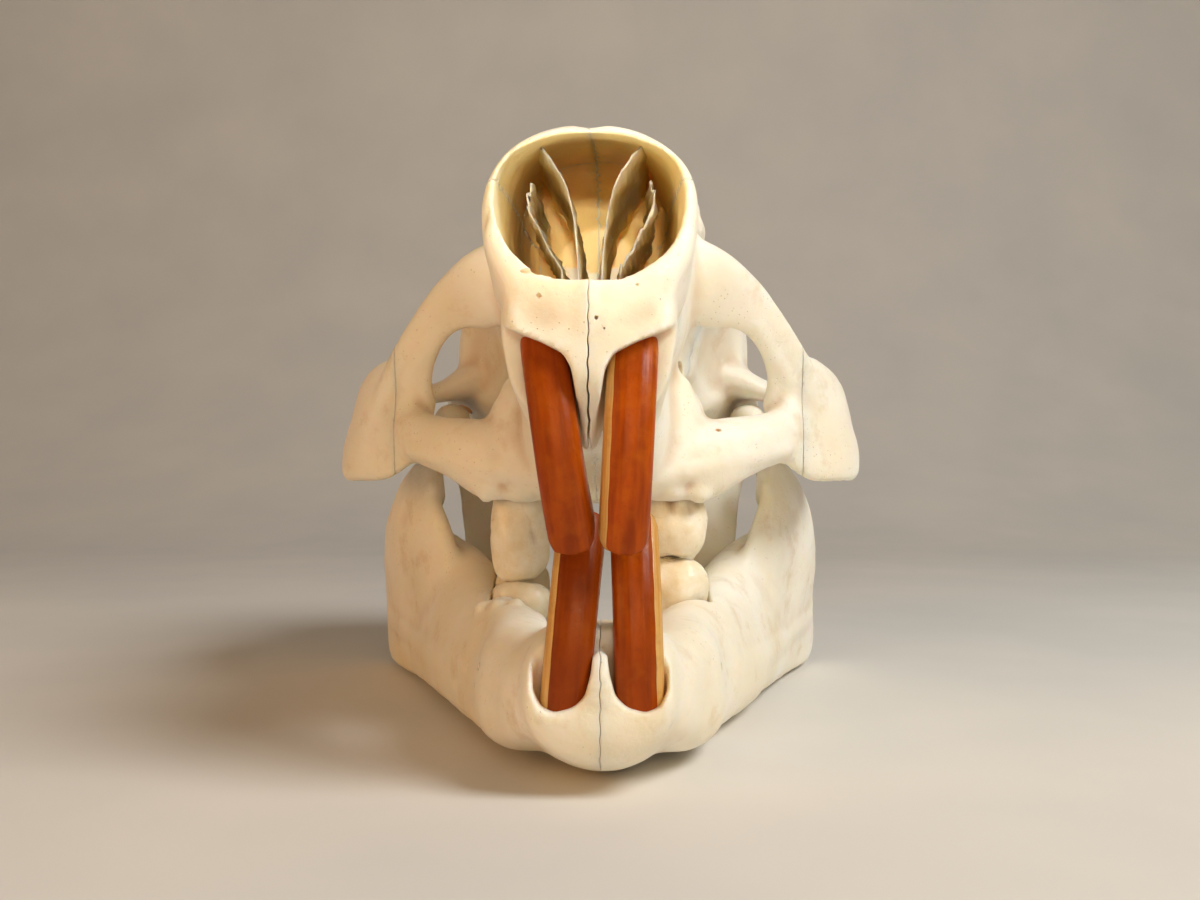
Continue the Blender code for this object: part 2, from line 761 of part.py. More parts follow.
def part_bones(whole):
    """Divides the upper skull along its seams."""
    cheek = ((-20, -20), (CHEEKBONE_END, -20), (CHEEKBONE_END, 100), (-20, 100))
    for side, word in ((1, "left"), (-1, "right")):
        low, high = sorted((side * CHEEKBONE_START, side * SIDE_REACH))
        largest(cut_out(whole, "cheekbone_" + word, cheek, low, high, "X"))
    pairs = {"premaxilla": PREMAXILLA, "nasal": NASAL, "maxilla": MAXILLA, "frontal": FRONTAL}
    for name, outline in pairs.items():
        halved(cut_out(whole, name, outline, -SIDE_REACH, SIDE_REACH, "X"), name)
    largest(cut_out(whole, "parietal", PARIETAL, -SIDE_REACH, SIDE_REACH, "X"))
    largest(cut_out(whole, "occipital", OCCIPITAL, -SIDE_REACH, SIDE_REACH, "X"))
    largest(cut_out(whole, "skull_base", SKULL_BASE, *BASE_REACH, "Z"))
    halved(whole, "temporal")


def make_scrolls():
    """The thin sheets in the nose cavity."""
    for name, line, span in (
        ("nasal_scroll", NASAL_SCROLL, NASAL_SCROLL_SPAN),
        ("side_scroll", SIDE_SCROLL, SIDE_SCROLL_SPAN),
    ):
        shape = prism(ribbon(line, SCROLL_THICKNESS / 2), *span)
        for word, one in (("left", shape), ("right", mirrored(shape))):
            sheet = as_object(f"{name}_{word}", [one])
            cavity = as_object("nose_cavity", [vault(NOSE_ROWS, steps=1, sides=22, inset=GAP)])
            boolean(sheet, cavity, "INTERSECT")
            largest(sheet)


# The lower jaw


def jaw_masses():
    """The chin, both sides of the lower jaw, and the lump of bone by its right teeth."""
    side = [
        # Body, from the chin to the angle
        limb(
            [
                (5.4, 8.0, 9.4, 2.6, 3.4, 0),
                (6.4, 12.0, 9.0, 3.6, 4.9, 0),
                (7.4, 17.0, 8.5, 4.4, 6.4, -3),
                (8.6, 22.0, 8.2, 5.1, 6.9, -6),
                (10.0, 30.0, 8.1, 4.8, 7.5, -10),
                (13.4, 40.0, 8.5, 5.0, 8.0, -15),
                (16.8, 50.0, 9.4, 4.8, 8.8, -16),
                (20.2, 59.0, 10.7, 4.0, 10.2, -12),
                (24.2, 68.0, 11.6, 3.0, 11.0, -8),
            ],
            sides=24,
            power=2.5,
        ),
        # Bone round the cheek teeth
        limb(
            [
                (8.8, 33.0, 9.6, 3.6, 4.2, 0),
                (9.6, 40.0, 10.0, 4.4, 4.8, 0),
                (10.6, 52.0, 9.2, 4.4, 4.7, 0),
                (11.6, 64.0, 8.8, 4.0, 4.3, 0),
                (14.0, 69.0, 8.8, 2.6, 3.0, 0),
            ],
            power=3.4,
        ),
        plate(RAMUS_ROWS),
        # Ridge from behind the last cheek tooth up to the joint
        limb(
            [
                (14.0, 65.6, 10.0, 4.4, 3.2, 0),
                (15.6, 68.6, 18.0, 4.2, 2.0, 0),
                (17.0, 71.6, 23.0, 3.6, 1.6, 0),
                (18.9, 75.4, 29.0, 2.8, 1.8, 0),
                (21.4, 78.0, 35.6, 2.2, 3.4, 0),
            ],
            reference=(0, 1, 0),
        ),
        # Hook at the front of the upright part
        limb(
            [
                (23.2, 62.0, 27.0, 1.4, 3.4, 0),
                (23.9, 65.6, 32.0, 1.1, 2.6, 0),
                (24.2, 68.4, 35.8, 0.9, 1.4, 0),
            ],
            reference=(0, 1, -0.6),
        ),
        # Neck and head of the jaw joint
        limb(
            [
                (27.0, 75.6, 27.0, 2.0, 5.2, 0),
                (25.2, 77.0, 32.4, 1.9, 4.6, 0),
                (22.9, 78.2, 37.2, 2.1, 4.8, 0),
            ],
            reference=(0, 1, 0),
        ),
        blob((22.7, 78.4, 38.8), (2.8, 5.8, 2.4)),
    ]
    lump = [blob((-11.6, 36.8, 12.2), (3.2, 3.4, 4.6)), blob((-13.0, 39.4, 13.6), (2.0, 2.6, 3.0))]
    return [vault(CHIN_ROWS)] + both(side) + lump


def jaw_hollows():
    """The space for the tongue, and the dip behind the front teeth."""
    return [blob((0, 36.0, 13.0), (6.4, 15.0, 12.0)), blob((0, 13.0, 19.6), (5.0, 11.0, 3.4))]


def make_jaw():
    """Both halves as one shape, parted by the thin seam at the chin."""
    whole = as_object("jaw", jaw_masses())
    remeshed(whole, JAW_VOXEL, 3)
    scoops = as_object("scoops", jaw_hollows())
    remeshed(scoops, JAW_VOXEL, 1)
    boolean(whole, scoops, "DIFFERENCE")
    remeshed(whole, JAW_VOXEL, 3)
    thinned(whole, 2 * JAW_FACES)
    for side in (1, -1):
        boolean(whole, as_object("rim", [notch(LOWER_RIM, LOWER_RIM_DEPTH, side)]), "DIFFERENCE")
        boolean(whole, as_object("socket", [lower_socket(side)]), "DIFFERENCE")
        boolean(whole, as_object("groove", [cheek_groove(LOWER_ROW, side)]), "DIFFERENCE")
    for side, word in ((1, "left"), (-1, "right")):
        half = copy_of(whole, "dentary_" + word)
        low, high = sorted((side * GAP / 2, side * SIDE_REACH))
        boolean(half, as_object("half", [prism(SIDE_VIEW, low, high, "X")]), "INTERSECT")
        largest(half)
    bpy.data.objects.remove(whole)


def clear_scene():
    for obj in list(bpy.data.objects):
        bpy.data.objects.remove(obj)


def coloured(obj):
    """Gives an object its own material, by the kind of thing it is."""
    kind = next((k for k in LOOKS if k in obj.name), "bone")
    colour, roughness = LOOKS[kind]
    look = bpy.data.materials.new(obj.name)
    look.use_nodes = True
    shader = look.node_tree.nodes["Principled BSDF"]
    shader.inputs["Base Color"].default_value = (*colour, 1)
    shader.inputs["Roughness"].default_value = roughness
    shader.inputs["Metallic"].default_value = 0.0
    obj.data.materials.clear()
    obj.data.materials.append(look)


def placed():
    """Turns the upper skull, then sets everything on the floor about the middle, in metres."""
    pivot = Matrix.Translation(CRANIUM_PIVOT)
    yaw = pivot @ Matrix.Rotation(math.radians(CRANIUM_YAW), 4, "Z") @ pivot.inverted()
    yaw = Matrix.Translation(CRANIUM_SHIFT) @ yaw
    for obj in bpy.data.objects:
        if not obj.name.startswith(("dentary", "lower")):
            obj.data.transform(yaw)
    corners = np.array([v.co for obj in bpy.data.objects for v in obj.data.vertices])
    low, high = corners.min(axis=0), corners.max(axis=0)
    shift = Matrix.Translation((-(low[0] + high[0]) / 2, -(low[1] + high[1]) / 2, -low[2]))
    for obj in bpy.data.objects:
        obj.data.transform(Matrix.Scale(METRES, 4) @ shift)


def main():
    clear_scene()
    part_bones(make_cranium())
    make_scrolls()
    make_jaw()
    for side, word in ((1, "left"), (-1, "right")):
        as_object("upper_incisor_" + word, [upper_incisor(side)])
        as_object("lower_incisor_" + word, [lower_incisor(side)])
        for kind, row in (("upper", UPPER_ROW), ("lower", LOWER_ROW)):
            for i, tooth in enumerate(cheek_row(row, side)):
                as_object(f"{kind}_cheek_tooth_{word}_{i + 1}", [cheek_tooth(*tooth)])
    placed()
    for obj in bpy.data.objects:
        obj.data.shade_smooth()
        coloured(obj)


main()
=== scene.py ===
# Looks of the porcupine skull: fine bones, sutures, nose scrolls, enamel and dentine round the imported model.
#
# Shapes are made in millimetres, as the solids are, and go to metres in the frame at the end. X runs to
# the skull's left, Y back from the front teeth, Z up from the floor. Rows give the left side; both() mirrors.

import json
import math

import bmesh
import bpy
import numpy as np
from mathutils import Matrix, Vector

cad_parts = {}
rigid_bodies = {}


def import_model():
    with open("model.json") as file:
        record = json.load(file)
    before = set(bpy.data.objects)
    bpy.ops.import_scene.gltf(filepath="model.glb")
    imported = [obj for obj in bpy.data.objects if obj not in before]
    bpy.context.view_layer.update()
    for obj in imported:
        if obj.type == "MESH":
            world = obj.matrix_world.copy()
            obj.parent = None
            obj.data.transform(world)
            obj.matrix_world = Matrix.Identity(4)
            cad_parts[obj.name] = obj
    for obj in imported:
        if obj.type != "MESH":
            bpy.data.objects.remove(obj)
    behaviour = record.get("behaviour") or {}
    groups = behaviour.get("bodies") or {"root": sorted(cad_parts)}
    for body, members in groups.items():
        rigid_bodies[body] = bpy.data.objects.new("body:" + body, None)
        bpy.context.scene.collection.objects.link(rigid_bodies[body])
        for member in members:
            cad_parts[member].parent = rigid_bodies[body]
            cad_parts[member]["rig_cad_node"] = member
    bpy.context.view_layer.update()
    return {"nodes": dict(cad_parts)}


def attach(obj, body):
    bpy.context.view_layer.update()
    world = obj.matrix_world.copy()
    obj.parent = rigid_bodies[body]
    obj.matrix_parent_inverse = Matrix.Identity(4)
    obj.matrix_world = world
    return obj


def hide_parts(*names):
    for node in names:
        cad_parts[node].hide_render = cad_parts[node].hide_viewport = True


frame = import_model()
print("frame loaded:", len(frame["nodes"]), "nodes")


# Shapes from rows: each is (points, faces), closed


def smoothRows(rows, steps):
    table = np.array(rows, float)
    padded = np.vstack([2 * table[0] - table[1], table, 2 * table[-1] - table[-2]])
    found = []
    for i in range(1, len(padded) - 2):
        before, start, end, after = padded[i - 1 : i + 3]
        for t in np.arange(steps) / steps:
            bend = (2 * before - 5 * start + 4 * end - after) * t * t
            twist = (3 * start - before - 3 * end + after) * t**3
            found.append(0.5 * (2 * start + (end - before) * t + bend + twist))
    found.append(table[-1])
    return np.array(found)


def powerCurve(angle, power):
    c, s = math.cos(angle), math.sin(angle)
    return math.copysign(abs(c) ** (2 / power), c), math.copysign(abs(s) ** (2 / power), s)


def loft(rings):
    count = len(rings[0])
    points = [Vector(p) for ring in rings for p in ring]
    faces = []
    for r in range(len(rings) - 1):
        for k in range(count):
            a, b = r * count + k, r * count + (k + 1) % count
            faces.append((a, b, b + count, a + count))
    last = (len(rings) - 1) * count
    faces.append(tuple(range(count))[::-1])
    faces.append(tuple(last + k for k in range(count)))
    return points, faces


def vault(rows, steps=6, sides=72, inset=0.0):  # braincase, snout, nose cavity and chin
    rings = []
    for y, top, wide, bottom, half, powerTop, powerBottom, rake in smoothRows(rows, steps):
        ring = []
        for k in range(sides):
            angle = 2 * math.pi * k / sides
            up = math.sin(angle) >= 0
            c, s = powerCurve(angle, powerTop if up else powerBottom)
            z = wide + s * ((top - wide if up else wide - bottom) - inset)
            ring.append((c * (half - inset), y + rake * (z - wide), z))
        rings.append(ring)
    return loft(rings)


def limb(rows, reference=(0, 0, 1), sides=28, steps=7, power=2.3):  # x, y, z, half side, half up, lean
    table = smoothRows(rows, steps)
    path = [Vector(row[:3]) for row in table]
    rings = []
    for i, row in enumerate(table):
        along = (path[min(i + 1, len(path) - 1)] - path[max(i - 1, 0)]).normalized()
        side = Vector(reference).cross(along).normalized()
        up = along.cross(side)
        turn = Matrix.Rotation(math.radians(row[5]), 3, along)
        side, up = turn @ side, turn @ up
        curve = [powerCurve(2 * math.pi * k / sides, power) for k in range(sides)]
        rings.append([path[i] + side * (c * row[3]) + up * (s * row[4]) for c, s in curve])
    return loft(rings)


def plate(rows, sides=44, steps=8):  # z, front y, front x, back y, back x, half thickness, bow
    rings = []
    for z, frontY, frontX, backY, backX, half, bow in smoothRows(rows, steps):
        front, back = Vector((frontX, frontY, z)), Vector((backX, backY, z))
        out = (back - front).cross(Vector((0, 0, 1))).normalized()
        ring = []
        for k in range(sides):
            c, s = powerCurve(2 * math.pi * k / sides, 3.0)
            share = (1 - c) / 2
            ring.append(front.lerp(back, share) + out * (s * half + 4 * bow * share * (1 - share)))
        rings.append(ring)
    return loft(rings)


def blob(centre, radii, turns=(0, 0, 0), segments=40):
    bm = bmesh.new()
    bmesh.ops.create_uvsphere(bm, u_segments=segments, v_segments=segments // 2, radius=1)
    place = Matrix.Translation(centre)
    for axis, angle in zip("XYZ", turns):
        place = place @ Matrix.Rotation(math.radians(angle), 4, axis)
    bm.transform(place @ Matrix.Diagonal((*radii, 1)))
    points = [v.co.copy() for v in bm.verts]
    faces = [tuple(v.index for v in f.verts) for f in bm.faces]
    bm.free()
    return points, faces


def prism(outline, low, high, axis="Y"):  # the outline's points hold the two other coordinates, in order
    place = "XYZ".index(axis)
    return loft([[(*p[:place], level, *p[place:]) for p in outline] for level in (low, high)])


def mirrored(shape):
    points, faces = shape
    return [Vector((-p.x, p.y, p.z)) for p in points], [tuple(reversed(f)) for f in faces]


def both(shapes):
    return list(shapes) + [mirrored(s) for s in shapes]


def grown(outline, by):
    points = [Vector(p) for p in outline]
    count = len(points)
    area = sum(a.x * b.y - b.x * a.y for a, b in zip(points, points[1:] + points[:1]))
    turn = math.copysign(1, area)
    found = []
    for i, point in enumerate(points):
        before = (point - points[i - 1]).normalized()
        after = (points[(i + 1) % count] - point).normalized()
        normal = Vector((before.y + after.y, -before.x - after.x)).normalized() * turn
        share = normal.dot(Vector((before.y, -before.x)) * turn)
        found.append(tuple(point + normal * (by / max(share, 0.4))))
    return found


# Objects


def linked(name, data):
    obj = bpy.data.objects.new(name, data)
    bpy.context.collection.objects.link(obj)
    return obj


def asObject(name, shapes):
    bm = bmesh.new()
    for points, faces in shapes:
        verts = [bm.verts.new(p) for p in points]
        for face in faces:
            bm.faces.new([verts[i] for i in face])
    bmesh.ops.recalc_face_normals(bm, faces=bm.faces)
    mesh = bpy.data.meshes.new(name)
    bm.to_mesh(mesh)
    bm.free()
    return linked(name, mesh)


def asShape(obj):  # an object turned back into (points, faces)
    points = [v.co.copy() for v in obj.data.vertices]
    faces = [tuple(p.vertices) for p in obj.data.polygons]
    bpy.data.objects.remove(obj)
    return points, faces


def applyModifiers(obj):
    graph = bpy.context.evaluated_depsgraph_get()
    mesh = bpy.data.meshes.new_from_object(obj.evaluated_get(graph))
    old = obj.data
    obj.modifiers.clear()
    obj.data = mesh
    bpy.data.meshes.remove(old)
    return obj


def remeshed(obj, voxel, passes):
    grid = obj.modifiers.new("grid", "REMESH")
    grid.mode = "VOXEL"
    grid.voxel_size = voxel
    soft = obj.modifiers.new("soft", "SMOOTH")
    soft.factor = 0.5
    soft.iterations = passes
    return applyModifiers(obj)


def cutBy(obj, shapes, operation="DIFFERENCE"):
    tool = asObject("tool", shapes)
    step = obj.modifiers.new("cut", "BOOLEAN")
    step.solver = "MANIFOLD"
    step.operation = operation
    step.object = tool
    applyModifiers(obj)
    bpy.data.objects.remove(tool)
    return obj


def fusedTool(shapes, voxel, passes=2):  # overlapping shapes fused into one closed tool
    return [asShape(remeshed(asObject("fused", shapes), voxel, passes))]


def joined(name, objects):
    bm = bmesh.new()
    for obj in objects:
        bm.from_mesh(obj.data)
        bpy.data.objects.remove(obj)
    mesh = bpy.data.meshes.new(name)
    bm.to_mesh(mesh)
    bm.free()
    return linked(name, mesh)


def copyOf(obj, name):
    return linked(name, obj.data.copy())


def largest(obj):  # keeps the largest closed surface only
    bm = bmesh.new()
    bm.from_mesh(obj.data)
    left = set(bm.verts)
    groups = []
    while left:
        start = left.pop()
        group, queue = [start], [start]
        while queue:
            for edge in queue.pop().link_edges:
                for vert in edge.verts:
                    if vert in left:
                        left.discard(vert)
                        group.append(vert)
                        queue.append(vert)
        groups.append(group)
    groups.sort(key=len)
    for group in groups[:-1]:
        bmesh.ops.delete(bm, geom=group, context="VERTS")
    bm.to_mesh(obj.data)
    bm.free()
    return obj


def unevenness(points, size, seed):  # smooth random heights from -1 to 1, one bump to each size in mm
    spot = points / size + seed * 17.31
    cell = np.floor(spot).astype(np.int64)
    share = spot - cell
    share = share * share * (3 - 2 * share)
    total = np.zeros(len(points))
    for corner in np.ndindex(2, 2, 2):
        at = cell + np.array(corner)
        mixed = (at[:, 0] * 73856093) ^ (at[:, 1] * 19349663) ^ (at[:, 2] * 83492791)
        mixed = (mixed * 1274126177 + 12345) & 0x7FFFFFFF
        mixed = ((mixed >> 13) ^ mixed) * 1103515245 & 0x7FFFFFFF
        height = mixed / 0x3FFFFFFF - 1
        weight = np.prod(np.where(np.array(corner) == 1, share, 1 - share), axis=1)
        total += height * weight
    return total


def readPoints(obj):
    points = np.empty(len(obj.data.vertices) * 3)
    obj.data.vertices.foreach_get("co", points)
    return points.reshape(-1, 3)


def readNormals(obj):
    normals = np.empty(len(obj.data.vertices) * 3)
    obj.data.vertices.foreach_get("normal", normals)
    return normals.reshape(-1, 3)


def raised(obj, points, height):  # moves each point along its normal by its height in mm
    points += readNormals(obj) * height[:, None]
    obj.data.vertices.foreach_set("co", points.ravel())
    obj.data.update()
    return obj


def roughened(obj, waves, seed):  # moves the surface in and out: waves are (size, height) in mm
    points = readPoints(obj)
    height = sum(tall * unevenness(points, size, seed + i) for i, (size, tall) in enumerate(waves))
    return raised(obj, points, height)


# Surface marks: dents, bumps, crests and grooves raised or sunk in a fine mesh


def distanceTo(points, line):  # from each point to a line of points, in mm
    line = np.array(line, float)
    if len(line) == 1:
        return np.linalg.norm(points - line[0], axis=1)
    nearest = np.full(len(points), 1e9)
    for start, end in zip(line, line[1:]):
        along = end - start
        share = np.clip((points - start) @ along / (along @ along), 0, 1)
        nearest = np.minimum(nearest, np.linalg.norm(points - start - share[:, None] * along, axis=1))
    return nearest


def marked(obj, marks):  # each mark is (line, width, height): a height above 0 is a crest, below 0 a dent
    points = readPoints(obj)
    height = np.zeros(len(points))
    for line, width, tall in marks:
        close = 1 - np.clip(distanceTo(points, line) / width, 0, 1) ** 2
        height += tall * close * close
    return raised(obj, points, height)


def onBothSides(marks):
    return list(marks) + [([(-x, y, z) for x, y, z in line], width, tall) for line, width, tall in marks]


def hollowness(obj, rounds):  # how far each point lies under the smoothed surface, in mm
    edges = np.empty(len(obj.data.edges) * 2, np.int64)
    obj.data.edges.foreach_get("vertices", edges)
    ends = edges.reshape(-1, 2)
    points = readPoints(obj)
    count = np.maximum(np.bincount(edges, minlength=len(points)), 1)
    smooth = points.copy()
    for _ in range(rounds):
        for axis in range(3):
            value = smooth[:, axis]
            total = np.bincount(ends[:, 0], value[ends[:, 1]], len(points))
            total += np.bincount(ends[:, 1], value[ends[:, 0]], len(points))
            smooth[:, axis] = total / count
    return np.einsum("ij,ij->i", smooth - points, readNormals(obj))


def noted(obj, name, values):  # a number from 0 to 1 on each point, for the materials
    found = obj.data.attributes.get(name) or obj.data.attributes.new(name, "FLOAT", "POINT")
    found.data.foreach_set("value", np.clip(values, 0, 1).astype(np.float32))


# Front teeth: a core of dentine, and a plate of enamel over its front

incisors = {
    "width": 4.8,  # mm
    "depth": 4.9,
    "enamel": 0.3,  # how far the plate stands proud of the core
    "reach": 12,  # degrees that the plate goes round past the widest line
    "bevel": 14.0,  # degrees of the arc worn off the back of the tip
    "ribs": 0.02,  # mm high, along the enamel
    "steps": 80,
    "sides": 60,
}
upperArc = ((19.0, 34.0), 19.0)  # (y, z) of the centre and radius of the front face, in the side view
lowerArc = ((28.4, 13.0), 24.0)
# Root and tip of each one as (degrees about that centre, x), for the left (1) and the right (-1)
upperEnds = {1: ((46.0, 4.6), (-31.5, 3.5)), -1: ((46.0, -4.9), (-31.5, -1.7))}
lowerEnds = {1: ((-15.0, 3.8), (39.0, 3.3)), -1: ((-15.0, -3.5), (39.0, -1.8))}


def toothRings(arc, ends, inset, angles, ribs=0.0, seed=0.0):
    (centreY, centreZ), radius = arc
    root, tip = ends
    width, depth = incisors["width"] / 2 - inset, incisors["depth"] / 2 - inset
    way = math.copysign(1, root[0] - tip[0])
    rings = []
    for i in range(incisors["steps"] + 1):
        share = i / incisors["steps"]
        x = root[1] + (tip[1] - root[1]) * share
        ring = []
        for angle in angles:
            c, s = powerCurve(angle, 2.8)
            chip = 0.35 * math.sin(3.1 * angle + seed) * math.sin(7.3 * angle + 2 * seed)
            end = tip[0] + way * (incisors["bevel"] * (1 - s) / 2 + chip)
            turn = math.radians(root[0] + (end - root[0]) * share)
            outward = Vector((0, -math.cos(turn), math.sin(turn)))
            rib = math.cos(11 * c + seed) + 0.6 * math.cos(23 * c + 2 * seed)
            rib += 0.5 * math.sin(share * 37 + seed)
            narrow = 1.0 - 0.12 * (1 - s) / 2
            middle = Vector((x, centreY, centreZ)) + outward * (radius - incisors["depth"] / 2)
            out = s * depth + ribs * rib * max(s, 0)
            ring.append(middle + Vector((c * width * narrow, 0, 0)) + outward * out)
        rings.append(ring)
    return rings


def dentineCore(arc, ends, aside, seed):
    ends = [(angle, x + aside) for angle, x in ends]
    angles = [2 * math.pi * k / incisors["sides"] for k in range(incisors["sides"])]
    rings = toothRings(arc, ends, incisors["enamel"], angles, seed=seed)
    tip = rings[-1]
    middle = sum(tip, Vector()) / len(tip)
    along = (tip[0] - rings[-2][0]).normalized()
    # The worn end dips in the middle
    for share, dip in ((0.93, -0.1), (0.7, 0.15), (0.35, 0.35), (0.08, 0.4)):
        rings.append([middle.lerp(p, share) - along * dip for p in tip])
    return loft(rings)


def enamelPlate(arc, ends, seed):
    sweep = 180 + 2 * incisors["reach"]
    count = incisors["sides"]
    angles = [math.radians(-incisors["reach"] + sweep * k / count) for k in range(count + 1)]
    outer = toothRings(arc, ends, 0.0, angles, incisors["ribs"], seed)
    inner = toothRings(arc, ends, 2 * incisors["enamel"], angles, seed=seed)
    rings = [face + back[::-1] for face, back in zip(outer, inner)]
    along = (outer[-1][0] - outer[-2][0]).normalized()
    edge = rings[-1]
    soft = [p.lerp(edge[-1 - k], 0.28) + along * 0.12 for k, p in enumerate(edge)]  # the rounded cutting edge
    return loft(rings + [soft])


# Cheek teeth

cheekTeeth = {
    "sizes": ((7.4, 7.4), (6.9, 6.9), (6.7, 6.5), (6.0, 5.9)),  # length and width, front to back
    "gap": 0.3,
    "fall": 0.075,  # how much lower both rows lie with each mm back
    "fold": 0.2,  # depth of the fold on each side, as a share of the width
    "basin": 0.55,  # mm deep, between the ridges of enamel
    "profile": (  # how wide the tooth is at each share of its height, from its neck to the worn face
        (0.0, 0.8), (0.14, 0.86), (0.28, 0.93), (0.4, 0.98), (0.52, 1.0), (0.62, 0.99), (0.71, 0.96),
        (0.79, 0.91), (0.86, 0.84), (0.92, 0.75), (0.97, 0.64),
    ),
    "bulge": 1.1,  # how much wider than the solid the crown swells
    "square": 2.1,  # how square a crown is, seen along the tooth
    "lumps": ((3.2, 0.45), (1.5, 0.16)),
    "reach": 6.0,  # how far the groove that holds a row is cut past the bone's edge
    "sides": 72,
}
upperRow = dict(
    firstY=39.8, firstX=9.7, lastX=11.0, bone=27.4, intoBone=1.4, crown=20.6, worn={1: 20.9, -1: 18.0}
)
lowerRow = dict(
    firstY=40.0, firstX=9.6, lastX=11.2, bone=14.2, intoBone=-1.4, crown=20.1, worn={1: 20.4, -1: 17.5}
)


def cheekRow(row, side):  # (x, y, root, crown, size) of each tooth, front to back
    found = []
    y = row["firstY"]
    sizes = cheekTeeth["sizes"]
    for i, size in enumerate(sizes):
        if i:
            y += sizes[i - 1][0] / 2 + size[0] / 2 + cheekTeeth["gap"]
        x = row["firstX"] + (row["lastX"] - row["firstX"]) * i / (len(sizes) - 1)
        fall = cheekTeeth["fall"] * (y - row["firstY"])
        crown = row["worn"][side] if i == 0 else row["crown"] - fall
        found.append((side * x, y, row["bone"] - fall + row["intoBone"], crown, size))
    return found


def crownHeight(u, v, seed):  # how far the worn face lies below its rim: three slanted basins between ridges
    depth = 0.0
    for k, place in enumerate((-0.55, 0.0, 0.52)):
        slant = v - place - 0.22 * u * (-1) ** k + 0.05 * math.sin(5 * u + seed + k)
        across = u - 0.16 * (-1) ** k
        depth += math.exp(-((slant / 0.17) ** 4) - (across / 0.62) ** 4)
    return min(depth, 1.0)


def cheekTooth(x, y, root, crown, size, seed):
    way = math.copysign(1, crown - root)
    sides = cheekTeeth["sides"]
    profile = cheekTeeth["profile"]
    edge = profile[-1][1] - 0.08
    levels = [(root + (crown - root) * t, wide, 1.0) for t, wide in profile]
    levels += [(crown, edge, share) for share in np.linspace(1.0, 0.02, 15)]
    rings = []
    for z, scale, share in levels:
        ring = []
        for k in range(sides):
            angle = 2 * math.pi * k / sides
            c, s = powerCurve(angle, cheekTeeth["square"])
            fold = 1 - cheekTeeth["fold"] * max(0, 1 - abs(s - 0.08 * math.copysign(1, c)) / 0.5) ** 1.5
            swell = 1 + 0.022 * math.sin(5 * angle + seed + 0.5 * z)
            swell += 0.012 * math.sin(11 * angle + 2 * seed + 1.3 * z)
            u, v = c * fold * scale * swell * share, s * scale * swell * share
            down = 0.0
            if scale == edge:
                down = cheekTeeth["basin"] * crownHeight(u, v, seed) * min(1, (1 - share) / 0.12)
                down += 0.10 * math.sin(6 * u + seed) * math.sin(5 * v + seed)
            along = v * size[0] / 2
            aside = u * cheekTeeth["bulge"] * size[1] / 2
            ring.append((x + aside, y + along, z - down * way - cheekTeeth["fall"] * along))
        rings.append(ring)
    return loft(rings)


def cheekGroove(row, side):  # the groove in the bone that a row stands in
    teeth = cheekRow(row, side)
    reach = cheekTeeth["reach"] * (1 if row["intoBone"] < 0 else -1)
    rings = []
    for (x, y, root, _, size), way in ((teeth[0], -1), (teeth[-1], 1)):
        along = way * (size[0] / 2 + 0.1)
        y, root = y + along, root - cheekTeeth["fall"] * along
        half = size[1] / 2 + 0.1
        low, high = sorted((root + math.copysign(0.1, row["intoBone"]), root + reach))
        rings.append([(x - half, y, high), (x - half, y, low), (x + half, y, low), (x + half, y, high)])
    return loft(rings)


# Rows of the skull. Each row of a vault is y, top, widest height, bottom, half width, top power, bottom power
# and rake
vaultRows = (
    (3.6, 65.35, 57.6, 46.5, 10.1, 2.2, 2.2, 0.20),
    (6.0, 66.0, 57.6, 45.0, 10.5, 2.15, 2.2, 0.19),
    (10.0, 66.8, 57.6, 43.0, 10.5, 2.15, 2.2, 0.18),
    (17.0, 68.3, 57.4, 40.0, 10.2, 2.25, 2.2, 0.12),
    (26.0, 69.4, 57.4, 38.0, 10.4, 2.4, 2.2, 0.06),
    (34.0, 70.6, 57.8, 37.0, 11.6, 2.5, 2.2, 0.0),
    (42.0, 71.4, 59.0, 37.0, 12.9, 2.6, 2.0, 0.0),
    (50.0, 71.6, 59.4, 37.0, 13.6, 2.6, 1.8, 0.0),
    (58.0, 71.2, 57.6, 36.5, 14.6, 2.5, 1.8, 0.0),
    (66.0, 70.0, 54.5, 35.0, 17.0, 2.3, 2.0, 0.0),
    (74.0, 68.0, 51.5, 34.0, 20.6, 2.2, 2.2, 0.0),
    (83.0, 65.2, 49.0, 33.5, 22.8, 2.2, 2.6, 0.0),
    (91.0, 61.8, 47.6, 33.5, 21.9, 2.2, 2.5, 0.02),
    (96.8, 57.8, 47.0, 34.5, 18.8, 2.2, 2.2, 0.06),
    (100.4, 52.6, 45.0, 37.0, 13.5, 2.0, 2.0, 0.10),
)
# The nose cavity, whose wall is what is left between the two
noseRows = (
    (-3.0, 64.2, 58.6, 50.6, 9.3, 2.3, 2.3, 0.22),
    (3.5, 64.6, 58.6, 50.2, 9.25, 2.3, 2.3, 0.22),
    (9.0, 65.4, 58.6, 47.6, 9.1, 2.3, 2.2, 0.18),
    (17.0, 67.0, 58.2, 45.6, 8.8, 2.3, 2.2, 0.12),
    (26.0, 68.2, 58.4, 44.6, 8.6, 2.4, 2.2, 0.06),
    (36.0, 68.8, 58.6, 44.6, 8.6, 2.4, 2.2, 0.0),
    (46.0, 67.0, 58.4, 46.0, 8.0, 2.2, 2.2, 0.0),
    (52.0, 63.6, 58.0, 50.0, 5.4, 2.0, 2.0, 0.0),
)
